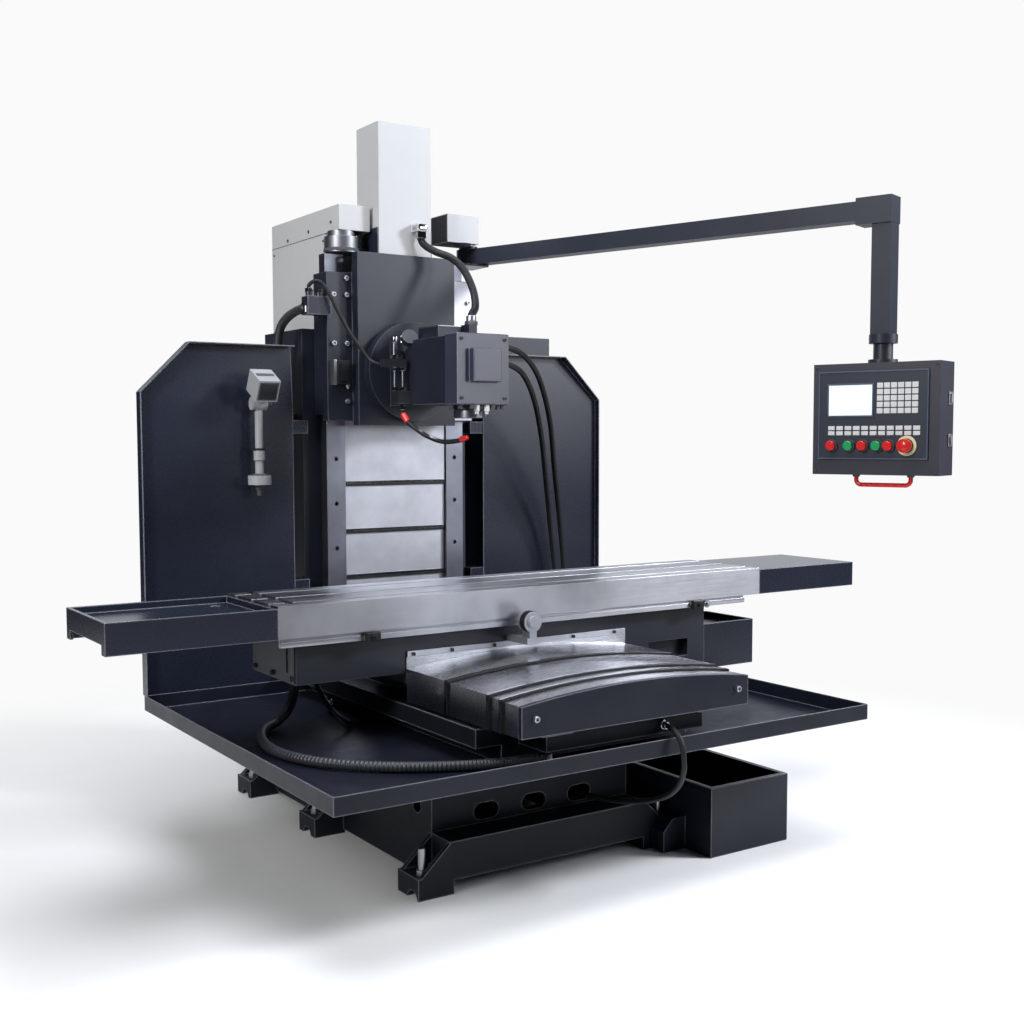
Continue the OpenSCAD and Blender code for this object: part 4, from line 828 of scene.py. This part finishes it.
class MILL_OT_drive(bpy.types.Operator):
    """Add the seams, screws and funnel of the drive covers on top of the column, and a black plate as
    painted shade on the junction box's side
    """
    bl_idname = "mill.drive"
    bl_label = "Drive covers"

    def execute(self, context):
        self.seams_and_shade()
        self.cover_screws()
        lathe("motor_ring", [(Z_MOTOR_RING_AT, UP, Z_MOTOR_RING, 48)], "black_plastic", "frame")
        return {"FINISHED"}

    def seams_and_shade(self):
        """Seams under the belt cover, a black plate over the junction box's left side as painted shade, and
        the funnel under the box.
        """
        low, high = box_mm("belt_cover")
        foot, top, back = low.z - 0.8, low.z + 0.8, high.y - 1
        right_front = box_mm("drive_cabinet")[0].y + 19
        bm = bmesh.new()
        slab(bm, (low.x - 0.7, low.y + 2, foot), (low.x + 0.2, back, top), 0)
        slab(bm, (high.x - 0.2, right_front, foot), (high.x + 0.7, back, top), 0)
        low, high = box_mm("junction_box")
        # painted shade: a thin black plate over the junction box's left side
        slab(bm, (low.x - 1.6, low.y + 3, low.z + 3), (low.x + 0.2, high.y - 2, high.z - 3), 0.5)
        rod(bm, (*FUNNEL_AT, low.z), (*FUNNEL_AT, low.z - FUNNEL_DEEP), FUNNEL_WIDE, rim=1, taper=0.6)
        piece("drive_seams_and_shade", bm, "black_plastic", "frame")

    def cover_screws(self):
        """Cover screws on the belt cover, the drive cabinet and the electrical cabinet."""
        bm = bmesh.new()
        low, high = box_mm("belt_cover")
        for y, z in BELT_SCREWS:
            pan_screw(bm, (low.x, y, z), LEFT, 11, 4)
            pan_screw(bm, (high.x, y, z), RIGHT, 11, 4)
        low, high = box_mm("drive_cabinet")
        screws(bm, pan_screw, (low.x,), (low.y + 18, high.y - 20), (low.z + 20, high.z - 22), LEFT, 9, 3.5)
        low, high = box_mm("electrical_cabinet")
        heights = (low.z + 20, low.z + 420, high.z - 20)
        screws(bm, pan_screw, (high.x,), (low.y + 20, high.y - 20), heights, RIGHT, 10, 4)
        piece("cover_screws", bm, "black_plastic", "frame")


# Table and saddle

TRIP_DOGS_X, TRIP_DOG_HALF = (-491, 618), 21
RAIL_BOLT_X = 664
SWITCH_AT = (-32, -546, 684)
SWITCH_RING = [(28.5, 0), (29.6, 0.8), (29.6, -20), (28.5, -21), (28.5, 0)]
SADDLE_PLATE_Z = (567, 686)
SADDLE_LID_Y, SADDLE_LID_Z = (-400, -215), (590, 664)
SADDLE_BOLTS_Y, SADDLE_BOLTS_Z = (-425, -308, -190), (578, 675)


class MILL_OT_table(bpy.types.Operator):
    """Add the trip dogs, switch ring and end plates of the table and saddle"""
    bl_idname = "mill.table"
    bl_label = "Table and saddle"

    def execute(self, context):
        low, high = box_mm("dog_rail")
        front = low.y - 1
        bm = bmesh.new()
        for x in TRIP_DOGS_X:
            slab(bm, (x - TRIP_DOG_HALF, front, low.z - 0.8),
                 (x + TRIP_DOG_HALF, low.y + 14.8, high.z - 1.2), 2.5)
            cap_screw(bm, (x, front, low.z + 11), FRONT, 12, 5)
        piece("trip_dogs", bm, "black_rubber", "table")
        bm = bmesh.new()
        hex_bolt(bm, (RAIL_BOLT_X, low.y + 15, low.z + 9), FRONT, 13, 8)
        piece("dog_rail_bolt", bm, "zinc_steel", "table")
        lathe("switch_ring", [(SWITCH_AT, FRONT, SWITCH_RING, 40)], "black_rubber", "saddle")
        self.saddle_end()
        return {"FINISHED"}

    def saddle_end(self):
        """Bolted plate with a raised lid on the saddle's left end."""
        low, high = box_mm("saddle")
        face = low.x - 3.5
        foot, top = SADDLE_PLATE_Z
        lid_front, lid_back = SADDLE_LID_Y
        lid_foot, lid_top = SADDLE_LID_Z
        plate = ((face, low.y + 3, foot), (low.x - CLEAR, high.y - 3, top), 1.2)
        lid = ((face - 3, lid_front, lid_foot), (face + CLEAR, lid_back, lid_top), 1.2)
        plates("saddle_end_plate", [plate, lid], "arm_paint", "saddle")
        bm = bmesh.new()
        screws(bm, cap_screw, (face,), SADDLE_BOLTS_Y, SADDLE_BOLTS_Z, LEFT, 14, 7)
        piece("end_plate_bolts", bm, "black_plastic", "saddle")


# Control pendant, in its own frame: x across the panel, y into the case, z as in the machine

ARM_POST, ARM_LENGTH, ARM_TURN = (318, 345), 1470, math.radians(-72.1)
PANEL_FIELD = ((-159, 1125), (148, 1363), 4, -56, -50.2)
SCREEN_FIELD = ((-133, 1239), (-1, 1330), 4.5, -57, -53.8)
BUTTONS_X, BUTTONS_Y, BUTTONS_Z = (-118, -68, -29, 11, 43), -62, 1162
BUTTON_BEZEL = [(16.8, -8), (16.8, -0.8), (15.8, 0.4), (14, 0.4), (13.5, -0.2), (13.5, -8), (16.8, -8)]
CASE_FRONT, CASE_FOOT = -50, 1083
CASE_SCREWS_X, CASE_SCREWS_Z = (-168, 168), (1092, 1375)
HANDLE_X, HANDLE_Y, HANDLE_WIDE = (-58, 94), -28, 12
HANDLE_BEND, HANDLE_BEND_Z = 14, 1070
HANDLE_COLLAR = [(6.2, 6), (9, 5), (10.5, 0), (6.2, 0), (6.2, 6)]
STOP_X, STOP_RING_Y, STOP_CAP_Y = 92, -57, -83
STOP_RING = [(26.4, -3), (26.4, 0.7), (25.6, 1.3), (19.3, 1.3), (18.9, 0.9), (18.9, -3), (26.4, -3)]
STOP_CAP = [(0, 2), (8, 1.6), (13, 0.2), (16.4, -2.2), (18.1, -5.4), (18.4, -8), (18.4, -10), (0, -10)]
LATCHES_Z = (1176, 1287)
LATCH_FOOT, LATCH_FACE, LATCH_TOP = 176.5, 180, 184.5


class MILL_OT_pendant(bpy.types.Operator):
    """Add the bezels, rings, latches and bent handle of the control pendant"""
    bl_idname = "mill.pendant"
    bl_label = "Control pendant"

    def execute(self, context):
        x, y = ARM_POST
        end = mm(x + ARM_LENGTH * math.cos(ARM_TURN), y + ARM_LENGTH * math.sin(ARM_TURN), 0.0)
        place = Matrix.Translation(end) @ Matrix.Rotation(ARM_TURN, 4, "Z")
        bm = bmesh.new()
        for low, high, width, front, back in (PANEL_FIELD, SCREEN_FIELD):
            for (x0, z0), (x1, z1) in strips(low, high, width):
                slab(bm, (x0, front, z0), (x1, back, z1), 0.8)
        piece("panel_bezels", bm, "bezel_foil", "pendant", place)
        self.controls(place)
        latches = []
        for z in LATCHES_Z:
            latches.append(((LATCH_FOOT, 8, z - 17), (LATCH_FACE, 34, z + 17), 1.2))
            latches.append(((LATCH_FACE, 15, z - 12), (LATCH_TOP, 27, z + 12), 1.5))
        plates("case_latches", latches, "zinc_steel", "pendant", place)
        self.handle(place)
        return {"FINISHED"}

    def controls(self, place):
        """Bezels of the buttons, screws and collars of the case, and the stop's ring and domed cap."""
        bm = bmesh.new()
        for x in BUTTONS_X:
            turned(bm, (x, BUTTONS_Y, BUTTONS_Z), FRONT, BUTTON_BEZEL, sides=32)
        screws(bm, pan_screw, CASE_SCREWS_X, (CASE_FRONT,), CASE_SCREWS_Z, FRONT, 8, 3)
        for x in HANDLE_X:
            turned(bm, (x, HANDLE_Y, CASE_FOOT), DOWN, HANDLE_COLLAR, sides=24)
        piece("button_bezels", bm, "black_plastic", "pendant", place)
        lathe("stop_ring", [((STOP_X, STOP_RING_Y, BUTTONS_Z), FRONT, STOP_RING, 40)],
              "cream_plastic", "pendant", place)
        lathe("stop_cap", [((STOP_X, STOP_CAP_Y, BUTTONS_Z), FRONT, STOP_CAP, 40)],
              "red_plastic", "emergency_stop", place)

    def handle(self, place):
        """Handle bent from one bar, in place of the square-cornered CAD one."""
        bend = [(math.sin(t), 1 - math.cos(t)) for t in (math.radians(15 * k) for k in range(7))]
        low, high = HANDLE_X
        left = [(low + HANDLE_BEND * b, HANDLE_BEND_Z - HANDLE_BEND * a) for a, b in bend]
        right = [(high - HANDLE_BEND * b, HANDLE_BEND_Z - HANDLE_BEND * a) for a, b in reversed(bend)]
        path = [(low, CASE_FOOT)] + left + right + [(high, CASE_FOOT)]
        grip = tube("handle_grip", [place @ mm(x, HANDLE_Y, z) for x, z in path], HANDLE_WIDE, "red_plastic",
                    rings=12)
        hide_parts("pendant_handle")
        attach(grip, "pendant")


# Work lamp; the trim of its head lies in the head's own leaning frame

LAMP_AXIS = (-482, 262)  # x and y of the stem
LAMP_PIVOT_Z, LAMP_LEAN = 1290, math.radians(28)
# The black frame over the front and the two strips along the underside are painted shade of the head's
# shaded front and underside; the plate on top is a slot
LAMP_TRIM_AND_SHADE = [((-30, -53.4, 37), (30, -51.6, 95), 0.6), ((-28, -18, 99.4), (28, 0, 100.8), 0.4),
             ((-30, -48, 30.8), (-24, 26, 32.2), 0.4), ((24, -48, 30.8), (30, 26, 32.2), 0.4)]
LAMP_FINS_X = (-30, -17, -4, 9, 22)
LAMP_LENS = ((-26, -54.6, 41), (26, -53, 91), 0.8)
TILT_KNOB_X = -458.5
TILT_KNOB = [(0, 18), (8, 18), (11, 15), (11, 6), (6, 4), (6, 0), (0, 0)]
STEM_RING_Z = 1149
STEM_RING = [(12, 0), (18, 0), (18.6, 1), (18.6, 5), (17, 6), (12, 6), (12, 0)]
LAMP_PLUG_Z = 1044
LAMP_PLUG = [(0, 34), (7, 34), (9, 30), (9, 16), (13, 14), (13, 0), (0, 0)]
LAMP_FLANGE_Z = 1072
LAMP_FLANGE = [(13, 0), (30, 0), (30, 2), (16, 6), (13, 6), (13, 0)]


class MILL_OT_lamp(bpy.types.Operator):
    """Add the lens, fins, knobs and plug of the work lamp, and black plates as painted shade on its front
    and underside
    """
    bl_idname = "mill.lamp"
    bl_label = "Work lamp"

    def execute(self, context):
        place = Matrix.Translation(mm(*LAMP_AXIS, LAMP_PIVOT_Z)) @ Matrix.Rotation(LAMP_LEAN, 4, "X")
        fins = [((x, 29.8, 40), (x + 8, 34, 94), 1) for x in LAMP_FINS_X]
        plates("lamp_trim_and_shade", LAMP_TRIM_AND_SHADE + fins, "black_plastic", "lamp_head", place)
        plates("lamp_lens", [LAMP_LENS], "lamp_glass", "lamp_head", place)
        lathe("lamp_tilt_knob", [((TILT_KNOB_X, LAMP_AXIS[1], LAMP_PIVOT_Z), RIGHT, TILT_KNOB, 24)],
              "black_plastic", "lamp_head")
        lathe("lamp_stem_ring", [((*LAMP_AXIS, STEM_RING_Z), UP, STEM_RING, 32)],
              "black_rubber", "lamp_stem")
        lathe("lamp_plug", [((*LAMP_AXIS, LAMP_PLUG_Z), DOWN, LAMP_PLUG, 24),
                            ((*LAMP_AXIS, LAMP_FLANGE_Z), UP, LAMP_FLANGE, 40)], "black_plastic", "frame")
        return {"FINISHED"}


# Base and tank

TANK_RIM_IN, TANK_RIM_WIDE, TANK_RIM_THICK = 3.2, 12.8, 3.5


class MILL_OT_base(bpy.types.Operator):
    """Add the tank's rim and the glands at the lower ends of the hoses and conduits"""
    bl_idname = "mill.base"
    bl_label = "Base and tank"

    def execute(self, context):
        low, high = box_mm("coolant_tank")
        corner = (box_mm("bed_casting")[1].x + TANK_RIM_IN, low.y + TANK_RIM_IN)
        far_corner = (high.x - TANK_RIM_IN, high.y - TANK_RIM_IN)
        rim = [((*start, high.z - TANK_RIM_THICK), (*end, high.z), 0.8)
               for start, end in strips(corner, far_corner, TANK_RIM_WIDE)]
        plates("tank_rim", rim, "tray_paint", "frame")
        bm = bmesh.new()
        x, y, z = ROUTES["front_cable"][0]
        nut(bm, (x, y + 0.5, z), (x, y - 13.5, z), 27, 2)
        rod(bm, (x, y - 12.5, z), (x, y - 25.5, z - 0.5), 20, rim=2)
        for name in RIGHT_HOSES:
            x, y, z = ROUTES[name][-1]
            nut(bm, (x, y, z + 0.2), (x, y, z + 12), 30, 2)
            rod(bm, (x, y, z + 11), (x, y, z + 29), 23, rim=2)
        x, y, z = ROUTES["tray_conduit"][-1]
        nut(bm, (x - 8, y, z), (x + 8, y, z), 33, 2)
        x, y, z = ROUTES["bed_conduit"][-1]
        nut(bm, (x + 1, y, z), (x - 12, y - 10, z - 2), 22)
        piece("cable_glands", bm, "chromed_steel", "frame")
        return {"FINISHED"}


# Stage, in metres

WHITE = "#fafafa"
FLOOR_RADIUS, GLOW_START, GLOW_FULL = 4.2, 1.0, 2.9
ROOM_LIGHT = 0.18
COOL, WARM = (0.91, 0.94, 1.0), (1.0, 1.0, 0.98)
# Name, place, aim, power in watts, width, height, spread in degrees and colour of each soft light
LIGHTS = (
    ("key", (5.0, -4.2, 4.4), (0.1, -0.2, 1.1), 380, 1.3, 1.3, 150, COOL),
    ("gloss", (2.4, -3.15, 1.92), (0.2, 0.0, 1.6), 42, 2.2, 1.5, 180, COOL),
    ("fill", (-4.2, -1.6, 3.2), (-0.2, 0.4, 1.85), 41, 0.8, 2.4, 75, WARM),
    ("top", (-0.6, -1.0, 5.2), (-0.2, -0.3, 0.0), 240, 3.2, 3.2, 180, COOL),
    ("back", (3.0, 4.2, 1.8), (1.0, 0.0, 0.9), 90, 9.0, 3.0, 180, COOL),
)
# The camera that the photo's straight edges give
EYE, EYE_TURN = (-1.9713, -3.3591, 1.1863), (85.90, 0.12, -33.66)
LENS, SENSOR, SHIFT_UP, SEES_TO = 44.38, 36.0, 0.0155, 200.0


class MILL_OT_stage(bpy.types.Operator):
    """Set the pale floor, the soft lights and the camera"""
    bl_idname = "mill.stage"
    bl_label = "Stage"

    def execute(self, context):
        scene = context.scene
        self.floor()
        self.room(scene)
        for row in LIGHTS:
            self.light(*row)
        self.camera(scene)
        scene.view_settings.view_transform = "Standard"
        return {"FINISHED"}

    def floor(self):
        """A round of white paper that glows away from the machine, so that it runs into the backdrop."""
        material = finish("studio_floor", "#f4f4f4", "#f7f7f7", (0.7, 0.8), 40.0, 0.0, specular=0.1)
        tree = material.node_tree
        coords = node(tree, "ShaderNodeTexCoord").outputs["Object"]
        reach = node(tree, "ShaderNodeVectorMath", {"operation": "LENGTH"}, Vector=coords).outputs["Value"]
        rim = node(tree, "ShaderNodeMapRange", {"interpolation_type": "SMOOTHSTEP", "From Min": GLOW_START,
                                                "From Max": GLOW_FULL}, Value=reach).outputs["Result"]
        glow = node(tree, "ShaderNodeEmission", {"Color": linear(WHITE), "Strength": 1.0})
        mixed = node(tree, "ShaderNodeMixShader", Fac=rim)
        tree.links.new(tree.nodes["Principled BSDF"].outputs[0], mixed.inputs[1])
        tree.links.new(glow.outputs[0], mixed.inputs[2])
        tree.links.new(mixed.outputs[0], tree.nodes["Material Output"].inputs["Surface"])
        bm = bmesh.new()
        bmesh.ops.create_circle(bm, cap_ends=True, segments=96, radius=FLOOR_RADIUS)
        mesh = bpy.data.meshes.new("floor")
        bm.to_mesh(mesh)
        bm.free()
        mesh.materials.append(material)
        link("floor", mesh)

    def room(self, scene):
        """A dim room for the reflections, behind a white backdrop."""
        world = bpy.data.worlds.new("studio")
        scene.world = world
        world.use_nodes = True
        tree = world.node_tree
        tree.nodes["Background"].inputs["Strength"].default_value = ROOM_LIGHT
        backdrop = node(tree, "ShaderNodeBackground", {"Color": linear(WHITE), "Strength": 1.0})
        seen = node(tree, "ShaderNodeLightPath").outputs["Is Camera Ray"]
        mixed = node(tree, "ShaderNodeMixShader", Fac=seen)
        tree.links.new(tree.nodes["Background"].outputs[0], mixed.inputs[1])
        tree.links.new(backdrop.outputs[0], mixed.inputs[2])
        tree.links.new(mixed.outputs[0], tree.nodes["World Output"].inputs["Surface"])

    def light(self, name, place, aim, power, wide, high, spread, colour):
        """One soft rectangular light that the camera doesn't see."""
        data = bpy.data.lights.new(name, "AREA")
        data.energy = power
        data.color = colour
        data.shape = "RECTANGLE"
        data.size = wide
        data.size_y = high
        data.spread = math.radians(spread)
        obj = link(name, data)
        obj.location = place
        obj.rotation_euler = (Vector(aim) - Vector(place)).to_track_quat("-Z", "Y").to_euler()
        obj.visible_camera = False

    def camera(self, scene):
        """The photo's point of view."""
        data = bpy.data.cameras.new("camera")
        data.lens = LENS
        data.sensor_width = SENSOR
        data.shift_y = SHIFT_UP
        data.clip_end = SEES_TO
        obj = link("camera", data)
        obj.location = EYE
        obj.rotation_euler = [math.radians(turn) for turn in EYE_TURN]
        scene.camera = obj


class MILL_PT_panel(bpy.types.Panel):
    """Lists the steps that dress the machine"""
    bl_idname = "MILL_PT_panel"
    bl_label = "Bed mill"
    bl_space_type = "VIEW_3D"
    bl_region_type = "UI"
    bl_category = "Mill"

    def draw(self, context):
        for step in STEPS:
            self.layout.operator(step.bl_idname)
        for group in (context.scene.mill_colours, context.scene.mill_sizes):
            for prop in group.bl_rna.properties:
                if prop.identifier not in ("rna_type", "name"):
                    self.layout.prop(group, prop.identifier)


STEPS = (MILL_OT_stage, MILL_OT_finishes, MILL_OT_cords, MILL_OT_way_covers, MILL_OT_head, MILL_OT_drive,
         MILL_OT_table, MILL_OT_pendant, MILL_OT_lamp, MILL_OT_base)
CLASSES = (MillColours, MillSizes, *STEPS, MILL_PT_panel)


def register():
    for cls in CLASSES:
        bpy.utils.register_class(cls)
    bpy.types.Scene.mill_colours = bpy.props.PointerProperty(type=MillColours)
    bpy.types.Scene.mill_sizes = bpy.props.PointerProperty(type=MillSizes)


def unregister():
    del bpy.types.Scene.mill_sizes
    del bpy.types.Scene.mill_colours
    for cls in reversed(CLASSES):
        bpy.utils.unregister_class(cls)


def main():
    register()
    for step in STEPS:
        group, call = step.bl_idname.split(".")
        getattr(getattr(bpy.ops, group), call)()


if __name__ == "__main__":
    main()
